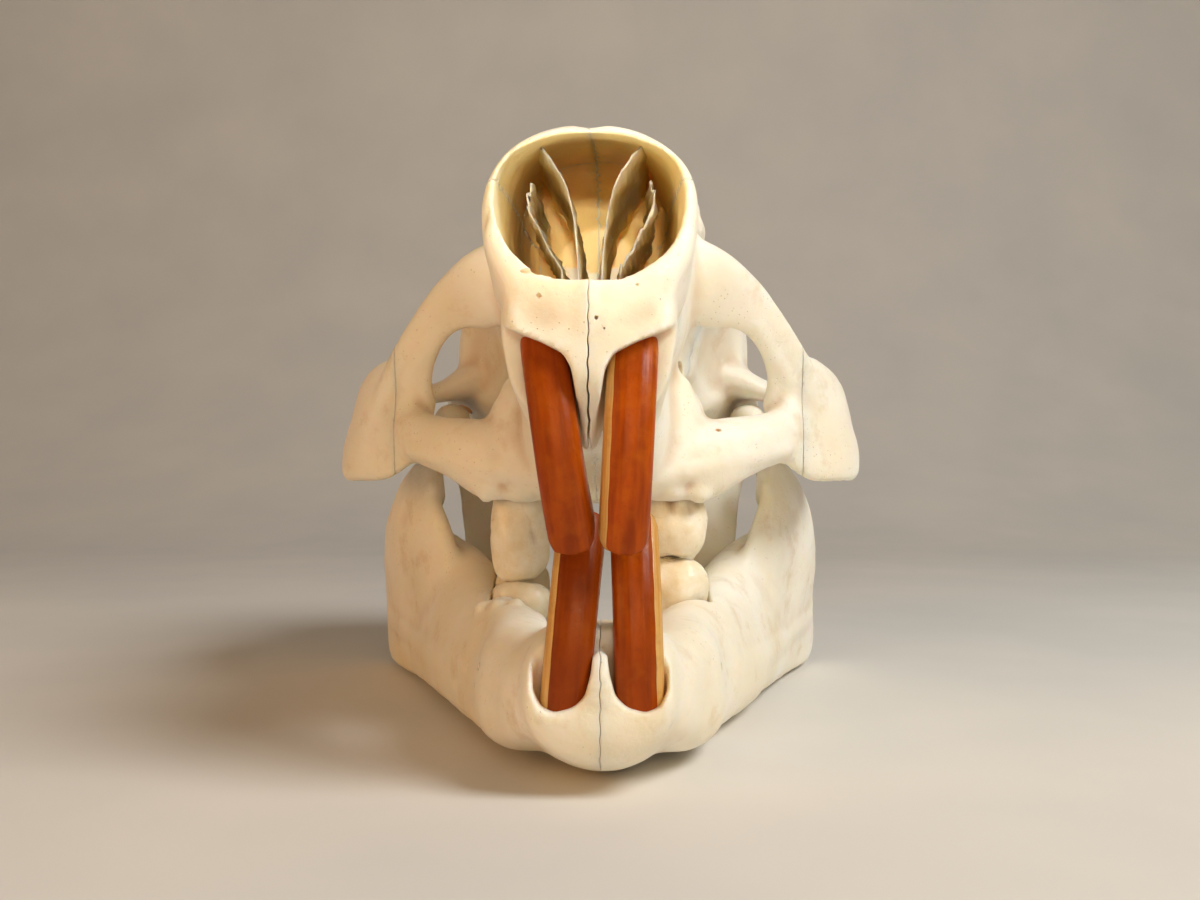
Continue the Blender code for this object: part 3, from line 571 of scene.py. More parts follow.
# The same for the chin, where the two halves of the lower jaw meet
chinRows = (
    (3.7, 12.4, 9.8, 7.6, 6.6, 2.2, 2.2, 0.10),
    (5.0, 15.0, 9.8, 4.6, 7.4, 2.2, 2.2, 0.10),
    (8.0, 17.0, 10.0, 2.4, 8.1, 2.3, 2.0, 0.0),
    (12.0, 17.0, 9.8, 1.2, 8.8, 2.4, 2.0, 0.0),
    (17.0, 15.8, 9.2, 0.3, 9.8, 2.6, 2.0, 0.0),
    (22.0, 14.6, 8.6, 0.0, 11.0, 2.8, 2.0, 0.0),
    (27.0, 14.0, 8.2, 0.4, 12.2, 2.8, 2.0, 0.0),
)
# Plate of the jaw's upright part, upwards: z, front y, front x, back y, back x, half thickness, bow
ramusRows = (
    (0.6, 59.0, 20.6, 85.0, 32.6, 1.5, 0.1),
    (3.4, 51.5, 17.8, 88.6, 33.7, 1.8, 0.5),
    (11.0, 51.0, 17.6, 88.5, 33.5, 1.9, 1.6),
    (17.0, 53.0, 18.6, 85.0, 33.1, 1.8, 2.1),
    (23.0, 56.5, 20.6, 80.8, 32.2, 1.6, 1.8),
    (28.5, 60.5, 23.2, 79.4, 29.8, 1.5, 1.2),
    (32.0, 64.0, 24.2, 80.2, 27.0, 1.5, 0.6),
)

# Seams between the bones of the upper skull. Each outline is (y, z) points in the side view.
premaxilla = ((-5, 30), (20, 30), (23, 38), (27, 50), (31, 60.4), (-5, 60))
nasal = ((-5, 60), (31, 60.4), (35.5, 64), (37, 76), (-5, 76))
maxilla = (
    (20, 20), (70, 20), (70, 30), (67, 42), (48, 45), (47, 60), (31, 60.4), (27, 50), (23, 38), (20, 30),
)
frontal = ((31, 60.4), (47, 60), (48, 45), (64, 42.6), (65, 58), (66.5, 76), (37, 76), (35.5, 64))
parietal = ((66.5, 76), (65, 56), (88, 52), (94, 56), (96, 64), (96, 76))
occipital = ((94, 56), (94, 48), (97, 44), (97, 20), (115, 20), (115, 76), (96, 76), (96, 64))
# The same from above, as (x, y) points
skullBase = (
    (-9.8, 60), (9.8, 60), (9.8, 75.5), (5.8, 77.5), (5.8, 99), (-5.8, 99), (-5.8, 77.5), (-9.8, 75.5),
)
sideReach = 60  # past both sides of the skull
notchFront = -6.0  # y where the cuts before the front teeth start, clear of the bone

# Outlines (x, z) of what is cut away in front of each left front tooth, and how far back the cut goes
upperRim = (
    (9.4, 27.0), (0.4, 27.0), (0.45, 34.0), (0.8, 37.0), (1.55, 41.6), (2.4, 43.1), (4.5, 44.2), (7.1, 45.3),
    (9.4, 46.4),
)
upperRimDepth = 4.4
lowerRim = (
    (-0.4, 26.0), (-0.4, 14.6), (0.7, 14.2), (0.9, 12.4), (1.5, 10.2), (2.6, 9.2), (4.4, 8.7), (5.8, 9.2),
    (6.5, 10.6), (6.6, 12.6), (6.3, 16.0), (6.0, 26.0),
)
lowerRimDepth = 7.0


def braincaseMasses():  # braincase, snout, palate and the pieces under and behind them
    middle = [
        vault(vaultRows),
        # The block of bone that holds the upper incisors, and the snout's floor behind it
        limb(
            [
                (0, 2.4, 47.4, 7.9, 7.0, 0),
                (0, 5.4, 46.0, 8.2, 9.0, 0),
                (0, 9.0, 45.2, 8.1, 9.8, 0),
                (0, 15.0, 43.6, 7.7, 9.8, 0),
                (0, 23.0, 42.0, 7.4, 10.0, 0),
                (0, 32.0, 39.6, 8.6, 10.4, 0),
                (0, 40.0, 38.0, 10.4, 9.8, 0),
            ],
            power=3.0,
        ),
        # Keel between the two upper incisors
        limb(
            [
                (0, 4.8, 33.6, 0.9, 2.2, 0),
                (0, 4.8, 37.0, 1.1, 2.9, 0),
                (0, 5.0, 42.0, 1.6, 3.6, 0),
            ],
            reference=(0, 1, 0),
            sides=12,
        ),
        # The bone that holds the cheek teeth
        limb(
            [
                (0, 34.0, 37.0, 10.6, 7.4, 0),
                (0, 37.0, 36.2, 13.0, 8.6, 0),
                (0, 46.0, 35.4, 13.8, 8.8, 0),
                (0, 56.0, 34.4, 14.2, 8.8, 0),
                (0, 66.0, 33.6, 13.6, 8.6, 0),
                (0, 70.6, 34.4, 11.2, 7.0, 0),
            ],
            power=3.4,
        ),
    ]
    side = [
        # Ear capsule and its short tube
        blob((12.6, 84.6, 34.8), (6.6, 10.2, 8.0), (0, 0, -14)),
        limb(
            [
                (14.0, 84.0, 38.0, 3.4, 3.4, 0),
                (18.6, 84.4, 40.6, 3.0, 3.0, 0),
                (24.2, 85.4, 42.6, 2.6, 2.6, 0),
            ],
            reference=(0, 1, 0),
        ),
        # Mastoid and the spur behind the ear capsule
        blob((18.0, 92.0, 41.0), (4.2, 4.6, 6.4)),
        limb(
            [
                (14.6, 96.4, 41.0, 3.0, 3.0, 0),
                (14.2, 98.0, 35.4, 2.2, 2.2, 0),
                (13.4, 98.2, 30.6, 1.3, 1.4, 0),
            ],
            reference=(0, 1, 0),
        ),
        # Condyle beside the great hole at the back
        blob((6.2, 100.0, 39.2), (3.1, 4.4, 5.4), (24, 0, 24)),
        # Wing plate behind the palate
        limb(
            [
                (7.6, 64.0, 31.6, 1.2, 4.4, 0),
                (7.2, 70.0, 31.4, 1.0, 4.6, 0),
                (8.4, 76.4, 31.6, 1.0, 3.6, 0),
            ],
        ),
        # Half of the ridge across the back of the head
        limb(
            [
                (-1.0, 95.4, 60.4, 1.5, 1.4, 0),
                (6.0, 95.4, 59.2, 1.5, 1.4, 0),
                (12.0, 94.8, 55.4, 1.5, 1.4, 0),
                (17.6, 93.6, 49.0, 1.5, 1.5, 0),
                (20.0, 92.2, 43.0, 1.6, 1.6, 0),
            ],
            reference=(0, 1, 0),
        ),
    ]
    return middle + both(side)


def braincaseHollows():  # what is scooped out of the braincase and snout before the cheek arches are added
    middle = [
        # Arch of the palate in front of the cheek teeth
        blob((0, 22.0, 28.6), (7.0, 12.5, 6.0)),
        # Palate between the tooth rows
        blob((0, 52.0, 25.4), (4.4, 20.0, 3.2)),
        # Back opening of the nose, under the skull
        blob((0, 74.0, 30.0), (5.2, 11.0, 7.4)),
        # The great hole at the back
        blob((0, 103.0, 45.0), (6.8, 11.0, 5.8)),
    ]
    side = [
        # Eye socket and the hollow behind it
        blob((19.0, 54.0, 47.5), (8.6, 13.0, 11.0), (0, 18, 8)),
        blob((23.4, 66.0, 46.0), (9.6, 12.0, 13.0), (0, 8, -8)),
        blob((17.5, 60.0, 40.5), (6.6, 13.0, 6.4)),
        # Side of the snout in front of the arch
        blob((17.6, 24.0, 40.0), (8.6, 17.0, 12.5), (0, 0, -2)),
    ]
    return middle + both(side)


def archMasses():  # the cheek arch of one side: its two front roots, the cheekbone and its back root
    return [
        # Upper front root, a broad plate that faces forwards
        limb(
            [
                (7.0, 37.0, 55.4, 2.8, 5.8, 0),
                (12.6, 39.6, 54.6, 2.3, 5.2, 0),
                (17.4, 42.4, 52.1, 1.9, 4.4, 0),
                (21.8, 45.6, 47.8, 1.7, 3.8, 0),
                (24.6, 48.6, 42.8, 1.6, 4.4, 0),
                (26.2, 50.6, 38.4, 1.6, 4.4, 0),
            ],
            reference=(1, 0, 1),
        ),
        # Lower front root, a nearly flat shelf above the first cheek tooth
        limb(
            [
                (7.0, 37.6, 32.6, 4.4, 5.4, 0),
                (12.0, 38.4, 32.6, 4.2, 5.2, 0),
                (17.0, 41.2, 34.2, 3.8, 4.0, 0),
                (22.0, 45.4, 35.4, 3.0, 3.4, 0),
                (27.0, 50.4, 37.0, 2.0, 3.6, 0),
            ],
        ),
        # Cheekbone
        limb(
            [
                (23.6, 47.4, 39.4, 1.5, 6.6, -12),
                (27.4, 50.2, 38.3, 1.6, 8.7, -10),
                (30.8, 53.6, 37.7, 1.7, 8.4, -12),
                (33.4, 58.6, 37.2, 1.7, 7.8, -13),
                (34.4, 65.0, 37.8, 1.6, 6.4, -11),
                (34.2, 72.0, 39.4, 1.5, 5.0, -10),
                (31.6, 78.0, 41.8, 1.4, 3.2, -6),
            ],
        ),
        # Back root, out of the braincase
        limb(
            [
                (14.0, 82.0, 46.4, 6.4, 4.8, 0),
                (20.5, 79.4, 44.6, 5.0, 2.8, 0),
                (25.6, 78.2, 42.8, 3.8, 1.6, 0),
                (30.6, 75.8, 42.4, 2.6, 1.9, 0),
                (33.4, 71.0, 42.4, 1.6, 2.2, 0),
            ],
        ),
    ]


def archHollows():  # what is scooped out of the arch of one side
    return [
        # The wide opening through the front roots
        limb(
            [
                (14.6, 28.0, 42.4, 4.1, 5.2, -14),
                (15.8, 40.0, 43.6, 4.4, 5.6, -16),
                (17.4, 52.0, 44.6, 5.1, 6.4, -16),
            ],
            power=2.2,
        ),
        # Under the lower root, where the jaw muscle starts
        blob((23.4, 48.6, 27.6), (3.0, 8.0, 4.0), (0, -10, 30)),
        # Groove that the jaw's joint head slides in
        blob((22.7, 77.6, 38.7), (3.3, 9.0, 2.8), (5, 0, 0)),
    ]


def jawMasses():  # the lower jaw: the chin, and one side of it
    side = [
        # Body, from the chin to the angle
        limb(
            [
                (5.4, 8.0, 9.4, 2.6, 3.4, 0),
                (6.4, 12.0, 9.0, 3.6, 4.9, 0),
                (7.4, 17.0, 8.5, 4.4, 6.4, -3),
                (8.6, 22.0, 8.2, 5.1, 6.9, -6),
                (10.0, 30.0, 8.1, 4.8, 7.5, -10),
                (13.4, 40.0, 8.5, 5.0, 8.0, -15),
                (16.8, 50.0, 9.4, 4.8, 8.8, -16),
                (20.2, 59.0, 10.7, 4.0, 10.2, -12),
                (24.2, 68.0, 11.6, 3.0, 11.0, -8),
            ],
            sides=24,
            power=2.5,
        ),
        # Bone round the cheek teeth
        limb(
            [
                (8.8, 33.0, 9.6, 3.6, 4.2, 0),
                (9.6, 40.0, 10.0, 4.4, 4.8, 0),
                (10.6, 52.0, 9.2, 4.4, 4.7, 0),
                (11.6, 64.0, 8.8, 4.0, 4.3, 0),
                (14.0, 69.0, 8.8, 2.6, 3.0, 0),
            ],
            power=3.4,
        ),
        plate(ramusRows),
        # Ridge from behind the last cheek tooth up to the joint
        limb(
            [
                (14.0, 65.6, 10.0, 4.4, 3.2, 0),
                (15.6, 68.6, 18.0, 4.2, 2.0, 0),
                (17.0, 71.6, 23.0, 3.6, 1.6, 0),
                (18.9, 75.4, 29.0, 2.8, 1.8, 0),
                (21.4, 78.0, 35.6, 2.2, 3.4, 0),
            ],
            reference=(0, 1, 0),
        ),
        # Hook at the front of the upright part
        limb(
            [
                (23.2, 62.0, 27.0, 1.4, 3.4, 0),
                (23.9, 65.6, 32.0, 1.1, 2.6, 0),
                (24.2, 68.4, 35.8, 0.9, 1.4, 0),
            ],
            reference=(0, 1, -0.6),
        ),
        # Neck and head of the jaw joint
        limb(
            [
                (27.0, 75.6, 27.0, 2.0, 5.2, 0),
                (25.2, 77.0, 32.4, 1.9, 4.6, 0),
                (22.9, 78.2, 37.2, 2.1, 4.8, 0),
            ],
            reference=(0, 1, 0),
        ),
        blob((22.7, 78.4, 38.8), (2.8, 5.8, 2.4)),
    ]
    lump = [blob((-11.6, 36.8, 12.2), (3.2, 3.4, 4.6)), blob((-13.0, 39.4, 13.6), (2.0, 2.6, 3.0))]
    return [vault(chinRows)] + both(side) + lump


# Crests, scars and dents, as (line, width, height): first those that both sides have
craniumMarks = onBothSides(
    [
        ([(4.9, 2.0, 47.8)], 3.9, -0.6),  # hollow beside the front seam
        ([(8.4, 6.0, 46.6), (9.4, 12.0, 50.0), (9.4, 19.0, 50.4)], 4.6, 0.4),  # root of the front tooth
        (
            [(12.8, 45.0, 65.0), (10.0, 56.0, 70.0), (5.6, 67.0, 69.8), (1.8, 78.0, 67.0), (0.6, 93.0, 61.4)],
            1.8,
            0.45,
        ),
        ([(13.0, 42.0, 62.4), (14.2, 51.0, 62.0), (14.8, 60.0, 60.4), (16.4, 66.0, 60.0)], 2.2, 0.5),  # brow
        ([(6.6, 46.0, 70.8)], 8.0, 0.5),  # swollen forehead
        # Where the jaw muscle starts
        ([(11.0, 33.8, 31.4), (17.0, 37.6, 33.0), (24.0, 43.6, 34.0)], 1.7, 0.4),
        ([(20.0, 42.6, 49.6), (24.6, 47.0, 43.0)], 1.4, 0.25),
        ([(29.0, 55.0, 31.0), (33.6, 63.0, 31.6)], 2.4, 0.35),
        ([(34.6, 60.0, 39.0)], 5.0, -0.35),
        ([(16.0, 76.0, 62.0), (19.6, 84.0, 57.0)], 6.0, -0.35),
        ([(8.0, 99.0, 52.0)], 5.0, -0.6),  # back of the head, for the neck's muscles
        ([(4.0, 45.0, 28.6), (4.6, 60.0, 27.6)], 1.6, -0.3),
    ]
) + [
    ([(0, 1.6, 50.0), (0, 2.0, 46.0), (0, 3.0, 42.0)], 1.5, 0.4),  # lips of the front seam
    ([(0, 2.0, 66.0), (0, 20.0, 69.4), (0, 36.0, 71.6)], 2.4, -0.5),  # groove between the nose bones
    ([(0, 38.0, 71.4), (0, 54.0, 71.8)], 5.0, -0.5),
    ([(0, 80.0, 66.2), (0, 94.0, 61.6)], 1.9, 0.7),  # crest on top
    ([(0, 99.0, 58.6), (0, 101.0, 51.0)], 1.4, 0.4),
    ([(-10.6, 3.0, 57.0), (-10.4, 5.0, 55.6)], 1.5, -0.6),  # chip in the rim of the nose
    # Lumps of bone over the first cheek teeth
    ([(-13.2, 36.2, 28.6)], 2.0, 0.8),
    ([(-9.0, 34.2, 28.2)], 1.8, 0.7),
    ([(-11.2, 34.6, 29.6)], 1.1, -0.6),
    ([(12.6, 35.8, 28.4)], 1.9, 0.8),
    ([(9.2, 34.4, 28.6)], 1.6, 0.6),
    ([(11.0, 34.6, 29.8)], 1.0, -0.6),
]
# Holes for nerves and vessels, and the openings of the ears
craniumPits = [
    limb(
        [(27.0, 85.8, 43.8, 1.9, 1.7, 0), (23.0, 85.0, 42.0, 1.7, 1.6, 0), (18.6, 84.4, 40.6, 1.3, 1.3, 0)],
        (0, 1, 0),
    ),
    blob((9.6, 51.0, 43.6), (2.6, 1.1, 1.0)),
    blob((10.6, 61.4, 45.2), (3.0, 1.2, 1.3)),
    blob((12.6, 68.0, 41.0), (2.6, 1.5, 2.2)),
    blob((2.2, 26.4, 33.8), (0.75, 3.4, 2.0)),
    blob((2.8, 57.0, 28.0), (0.6, 1.1, 2.4)),
    blob((6.8, 91.6, 34.0), (1.1, 2.4, 2.6)),
    blob((13.4, 50.0, 66.4), (0.5, 0.5, 1.4)),
    blob((19.6, 75.0, 47.6), (1.6, 0.6, 0.6)),
]
facePits = [
    blob((2.1, 2.4, 44.0), (0.34, 1.4, 0.3)),
    blob((-4.7, 2.0, 48.6), (0.26, 1.0, 0.24)),
    blob((0.75, 1.8, 46.4), (0.2, 0.8, 0.24)),
    blob((1.5, 2.0, 45.4), (0.14, 0.8, 0.16)),
    blob((4.6, 2.0, 49.6), (0.15, 0.8, 0.13)),
    blob((14.8, 36.0, 36.4), (0.42, 1.3, 0.2)),
    blob((-10.4, 3.6, 57.0), (1.0, 1.0, 0.8), (0, 20, 0)),  # chips in the rim of the nose
    blob((-5.0, 2.2, 50.9), (1.5, 1.2, 0.36)),
    blob((-2.3, 2.2, 50.6), (0.8, 1.2, 0.3)),
    blob((2.6, 2.2, 50.6), (1.1, 1.2, 0.3)),
]
jawMarks = onBothSides(
    [
        # Muscle ridge
        ([(15.6, 34.0, 8.6), (21.0, 48.0, 7.4), (27.4, 64.0, 7.0), (32.6, 80.0, 8.4)], 2.2, 0.35),
        ([(27.0, 64.0, 15.0)], 8.0, -0.5),
        ([(27.4, 66.0, 24.0)], 3.4, -0.5),
        ([(3.0, 4.6, 8.0)], 3.4, -0.25),
        ([(12.6, 36.0, 14.6), (14.2, 52.0, 13.6)], 1.4, 0.35),  # rim round the cheek teeth
    ]
) + [
    ([(0, 4.0, 12.4), (0, 5.4, 6.0)], 1.2, 0.2),
    # Knobs and dips on the lump of bone by the broken tooth
    ([(-9.8, 33.8, 16.2)], 1.4, 1.1),
    ([(-12.4, 34.2, 16.0)], 1.3, 0.9),
    ([(-14.2, 36.0, 14.8)], 1.4, 0.9),
    ([(-11.0, 32.8, 13.6)], 1.3, 0.8),
    ([(-13.6, 34.6, 12.4)], 1.2, 0.6),
    ([(-8.6, 32.4, 14.0)], 1.2, 0.6),
    ([(-11.2, 33.6, 15.2)], 0.9, -0.8),
    ([(-12.6, 34.0, 14.0)], 0.9, -0.8),
    ([(-9.6, 32.8, 14.9)], 0.8, -0.6),
    ([(-13.6, 35.2, 15.9)], 0.8, -0.6),
]
jawPits = both(
    [
        limb([(14.6, 20.0, 10.6, 0.5, 0.5, 0), (9.4, 23.0, 9.8, 0.4, 0.4, 0)], (0, 0, 1)),
        limb([(14.4, 22.0, 8.2, 0.35, 0.35, 0), (9.4, 24.4, 8.0, 0.3, 0.3, 0)], (0, 0, 1)),
        blob((18.6, 70.0, 19.0), (3.0, 1.1, 1.4)),
    ]
) + [blob((-5.2, 5.4, 7.4), (0.26, 1.3, 0.24)), blob((5.8, 5.6, 8.2), (0.24, 1.3, 0.24))]


# Building the upper skull

cranium = {
    "voxel": 0.4,  # mm, finer keeps more of the rough bone
    "swells": ((8.0, 0.16), (3.0, 0.07), (1.2, 0.03)),  # size and height of the unevenness, mm
    "yaw": -1.1,  # degrees: the nose points slightly to the skull's right
    "pivot": (0.0, 80.0, 40.0),
    "aside": (0.4, 0.0, 0.0),
    "seam": 0.04,  # mm wide
    "jag": 0.32,  # how far a seam wanders, mm
}
cheekboneStart = 26.5  # x of the seam between cheekbone and upper jaw
cheekboneEnd = 71.5  # y of the seam behind the cheekbone


def notch(outline, depth, side):
    shape = prism(outline, notchFront, depth)
    return shape if side > 0 else mirrored(shape)


def roughTool(shape, voxel, waves, seed):
    return asShape(roughened(remeshed(asObject("rough", [shape]), voxel, 2), waves, seed))


def makeCranium():
    voxel = cranium["voxel"]
    whole = remeshed(asObject("cranium", braincaseMasses()), voxel * 1.5, 3)
    cutBy(whole, fusedTool(braincaseHollows(), voxel * 1.5))
    arches = asObject("arches", both(archMasses()))
    whole = remeshed(joined("cranium", [whole, arches]), voxel, 14)
    cutBy(whole, fusedTool(both(archHollows()), voxel * 1.5))
    remeshed(whole, voxel, 12)
    marked(whole, craniumMarks)
    roughened(whole, cranium["swells"], 1)
    cutBy(whole, [roughTool(vault(noseRows), voxel, ((3.0, 0.12), (1.1, 0.05)), 7)])
    for side in (1, -1):
        cutBy(whole, [notch(upperRim, upperRimDepth, side)])
        cutBy(whole, [cheekGroove(upperRow, side)])
    remeshed(whole, voxel * 0.9, 2)
    cutBy(whole, both(craniumPits) + facePits)
    largest(whole)
    return whole


def wander(place, seed):  # a seam's way from side to side, -1 to 1
    slow = 0.6 * math.sin(2.9 * place + seed)
    return slow + 0.4 * math.sin(6.7 * place + 1.7 * seed) * math.cos(1.3 * place)


def jagged(outline, by, seed, step=0.45):
    found = []
    travelled = 0.0
    for start, end in zip(outline, outline[1:] + outline[:1]):
        start, end = Vector(start), Vector(end)
        side = Vector((-(end - start).y, (end - start).x)).normalized()
        count = max(1, round((end - start).length / step))
        for i in range(count):
            at = start.lerp(end, i / count)
            ease = min(1, 2 * i / count, 2 * (count - i) / count) if count > 1 else 0
            found.append(tuple(at + side * (by * wander(travelled + i * step, seed) * min(1, 3 * ease))))
        travelled += (end - start).length
    return found


def cutOut(whole, name, outline, low, high, axis, seed):  # takes one bone out of the whole along a thin seam
    line = jagged(tuple(outline), cranium["jag"], seed)
    bone = copyOf(whole, name)
    cutBy(bone, [prism(line, low, high, axis)], "INTERSECT")
    cutBy(whole, [prism(grown(line, cranium["seam"]), low - 0.1, high + 0.1, axis)])
    return bone


def halved(bone, name, gap, axis, jag, seed):  # a pair, left and right; gap(height) is half the seam's width
    for side, word in ((1, "left"), (-1, "right")):
        half = copyOf(bone, f"{name}_{word}")
        line = [(jag * wander(t, seed) + side * gap(t), t) for t in np.arange(-20, 120, 0.4)]
        outline = line + [(side * sideReach, 120.0), (side * sideReach, -20.0)]
        cutBy(half, [prism(outline, -30.0, 130.0, axis)], "INTERSECT")
        largest(half)
    bpy.data.objects.remove(bone)


def partBones(whole):
    seam = cranium["seam"] / 2
    cheek = ((-20, -20), (cheekboneEnd, -20), (cheekboneEnd, 100), (-20, 100))
    for side, word in ((1, "left"), (-1, "right")):
        low, high = sorted((side * cheekboneStart, side * sideReach))
        largest(cutOut(whole, "cheekbone_" + word, cheek, low, high, "X", 3))
    print("cheekbones parted")
    pair = cutOut(whole, "premaxilla", premaxilla, -sideReach, sideReach, "X", 5)
    halved(pair, "premaxilla", frontGap, "Y", 0.1, 2)
    for name, outline, seed in (("nasal", nasal, 6), ("maxilla", maxilla, 8), ("frontal", frontal, 9)):
        pair = cutOut(whole, name, outline, -sideReach, sideReach, "X", seed)
        halved(pair, name, lambda t: seam, "Z", cranium["jag"], seed)
    print("face bones parted")
    largest(cutOut(whole, "parietal", parietal, -sideReach, sideReach, "X", 11))
    largest(cutOut(whole, "occipital", occipital, -sideReach, sideReach, "X", 12))
    largest(cutOut(whole, "skull_base", skullBase, 10, 80, "Z", 13))
    halved(whole, "temporal", lambda t: seam, "Z", 0.0, 14)


def frontGap(height):  # half the width of the front seam, wider towards the teeth
    return 0.02 + 0.1 * min(1, max(0, (50 - height) / 14))


# Scrolls: thin sheets in the nose cavity

scrolls = {
    "nasal": {
        "line": (  # (x, z) points across the left one
            (6.4, 67.0), (4.9, 64.4), (3.9, 62.9), (2.6, 60.8),
            (1.9, 58.4), (1.5, 56.0), (1.2, 52.0), (1.1, 45.0),
        ),
        "span": (9.0, 43.0),  # first and last y
        "ragged": 0.7,  # how far its front edge is torn, mm
        "rise": 7.0,  # how much farther back its top starts, mm
        "thick": 0.34,  # mm
    },
    "side": {
        "line": (
            (6.1, 61.8), (6.5, 60.0), (6.3, 58.4), (5.2, 56.6),
            (4.5, 55.0), (3.4, 53.2), (2.9, 51.4), (3.1, 44.0),
        ),
        "span": (13.0, 45.0),
        "ragged": 2.6,
        "rise": 2.0,
        "thick": 0.5,
    },
}


def sheetBetween(values, side, seed):  # a bent sheet with a broken front edge
    line = smoothRows(values["line"], 9)
    first, last = values["span"]
    rings = []
    count = len(line)
    for share in (0, 0.02, 0.05, 0.1, 0.2, 0.35, 0.5, 0.7, 0.85, 1):  # of the way back
        outer, inner = [], []
        for i, (x, z) in enumerate(line):
            along = Vector(line[min(i + 1, count - 1)] - line[max(i - 1, 0)]).normalized()
            normal = Vector((-along.y, along.x))
            torn = values["ragged"] * (wander(0.31 * i + seed, seed) + 0.5 * wander(0.83 * i, seed + 1))
            torn += values["rise"] * max(0, 1 - i / 14) ** 1.5
            y = first + torn + (last - first - torn) * share
            fade = min(1.0, 0.35 + 5 * share)
            bend = 0.25 * math.sin(0.5 * y + 0.4 * i + seed)
            bend += 0.16 * values["ragged"] * (1 - share) * wander(0.5 * i, seed + 3)
            half = values["thick"] / 2 * fade * (1 + 0.25 * wander(1.7 * i, seed + 2))
            middle = Vector((x, z)) + normal * bend * min(1, share * 4)
            a, b = middle + normal * half, middle - normal * half
            outer.append((side * a.x, y, a.y))
            inner.append((side * b.x, y, b.y))
        rings.append(outer + inner[::-1])
    return loft(rings)


# Building the lower jaw

jaw = {
    "voxel": 0.4,
    "swells": ((8.0, 0.16), (3.0, 0.08), (1.2, 0.035)),
    "seam": 0.06,  # at the chin, mm wide
}


def makeJaw():
    voxel = jaw["voxel"]
    whole = remeshed(asObject("jaw", jawMasses()), voxel, 12)
    scoops = [blob((0, 36.0, 13.0), (6.4, 15.0, 12.0)), blob((0, 13.0, 19.6), (5.0, 11.0, 3.4))]
    cutBy(whole, fusedTool(scoops, voxel * 1.5))
    remeshed(whole, voxel, 12)
    marked(whole, jawMarks)
    roughened(whole, jaw["swells"], 21)
    for side in (1, -1):
        cutBy(whole, [notch(lowerRim, lowerRimDepth, side)])
        cutBy(whole, [cheekGroove(lowerRow, side)])
    remeshed(whole, voxel * 0.9, 2)
    cutBy(whole, jawPits)
    return largest(whole)


# Materials


def linear(colour):  # "#RRGGBB" as the four linear values that a node takes
    parts = [int(colour[i : i + 2], 16) / 255 for i in (1, 3, 5)]
    return (*[v / 12.92 if v <= 0.04045 else ((v + 0.055) / 1.055) ** 2.4 for v in parts], 1)


def addNode(tree, kind, inputs=None, **settings):  # inputs take plain values, or sockets to link
    node = tree.nodes.new(kind)
    for name, value in settings.items():
        setattr(node, name, value)
    for name, value in (inputs or {}).items():
        socket = node.inputs[name]
        if isinstance(value, bpy.types.NodeSocket):
            tree.links.new(value, socket)
        else:
            socket.default_value = value
    return node


def newMaterial(name):
    made = bpy.data.materials.new(name)
    made.use_nodes = True
    tree = made.node_tree
    place = addNode(tree, "ShaderNodeTexCoord")
    inputs = {"Vector": place.outputs["Object"], "Scale": (1000, 1000, 1000)}
    scaled = addNode(tree, "ShaderNodeMapping", inputs)
    return made, tree, tree.nodes["Principled BSDF"], scaled.outputs["Vector"]  # patterns are in mm


def pattern(tree, where, size, detail=3.0, rough=0.55):  # soft blotches of a size in mm
    inputs = {"Vector": where, "Scale": 1 / size, "Detail": detail, "Roughness": rough}
    return addNode(tree, "ShaderNodeTexNoise", inputs).outputs["Fac"]


def ranged(tree, value, low, high, toLow=0.0, toHigh=1.0):
    inputs = {"Value": value, "From Min": low, "From Max": high, "To Min": toLow, "To Max": toHigh}
    return addNode(tree, "ShaderNodeMapRange", inputs).outputs["Result"]


def blended(tree, share, first, second, kind="MIX"):  # colours may be hex words or sockets
    inputs = {0: share, 6: linear(first) if isinstance(first, str) else first}
    inputs[7] = linear(second) if isinstance(second, str) else second
    return addNode(tree, "ShaderNodeMix", inputs, data_type="RGBA", blend_type=kind).outputs[2]


def maths(tree, kind, first, second):
    return addNode(tree, "ShaderNodeMath", {0: first, 1: second}, operation=kind).outputs[0]


def read(tree, name):
    return addNode(tree, "ShaderNodeAttribute", attribute_name=name).outputs["Fac"]


def bumps(tree, shader, layers):  # layers are (height, mm)
    normal = None
    for height, deep in layers:
        inputs = {"Height": height, "Distance": deep * 0.001, "Strength": 1.0}
        if normal:
            inputs["Normal"] = normal
        normal = addNode(tree, "ShaderNodeBump", inputs).outputs["Normal"]
    tree.links.new(normal, shader.inputs["Normal"])


def streaks(tree, across, along, detail):  # pattern drawn out along a tooth
    inputs = {"X": maths(tree, "MULTIPLY", read(tree, "across"), across)}
    inputs["Y"] = maths(tree, "MULTIPLY", read(tree, "along"), along)
    lanes = addNode(tree, "ShaderNodeCombineXYZ", inputs).outputs[0]
    inputs = {"Vector": lanes, "Scale": 1.0, "Detail": detail}
    return addNode(tree, "ShaderNodeTexNoise", inputs).outputs["Fac"]


def varied(tree, shader, where, size, detail, low, high):  # roughness between low and high
    rough = ranged(tree, pattern(tree, where, size, detail), 0.3, 0.7, low, high)
    tree.links.new(rough, shader.inputs["Roughness"])


def soaking(shader, ior, weight, radius, deep):  # light goes in: how much, each colour's share, mm deep
    shader.inputs["IOR"].default_value = ior
    shader.inputs["Subsurface Weight"].default_value = weight
    shader.inputs["Subsurface Radius"].default_value = radius
    shader.inputs["Subsurface Scale"].default_value = deep * 0.001


boneLook = {
    "pale": "#F7F2E6",
    "cream": "#F0E6CE",
    "stain": "#C39F66",
    # painted shade in the hollows, partly stain
    "hollowShadeAndStain": "#B9863F",
    # painted glow of light through the nose's thin walls, deeper amber further in
    "nose": "#FFEDBE",
    "deepNoseGlow": "#FFDD9A",
    "pore": "#8A6232",
}


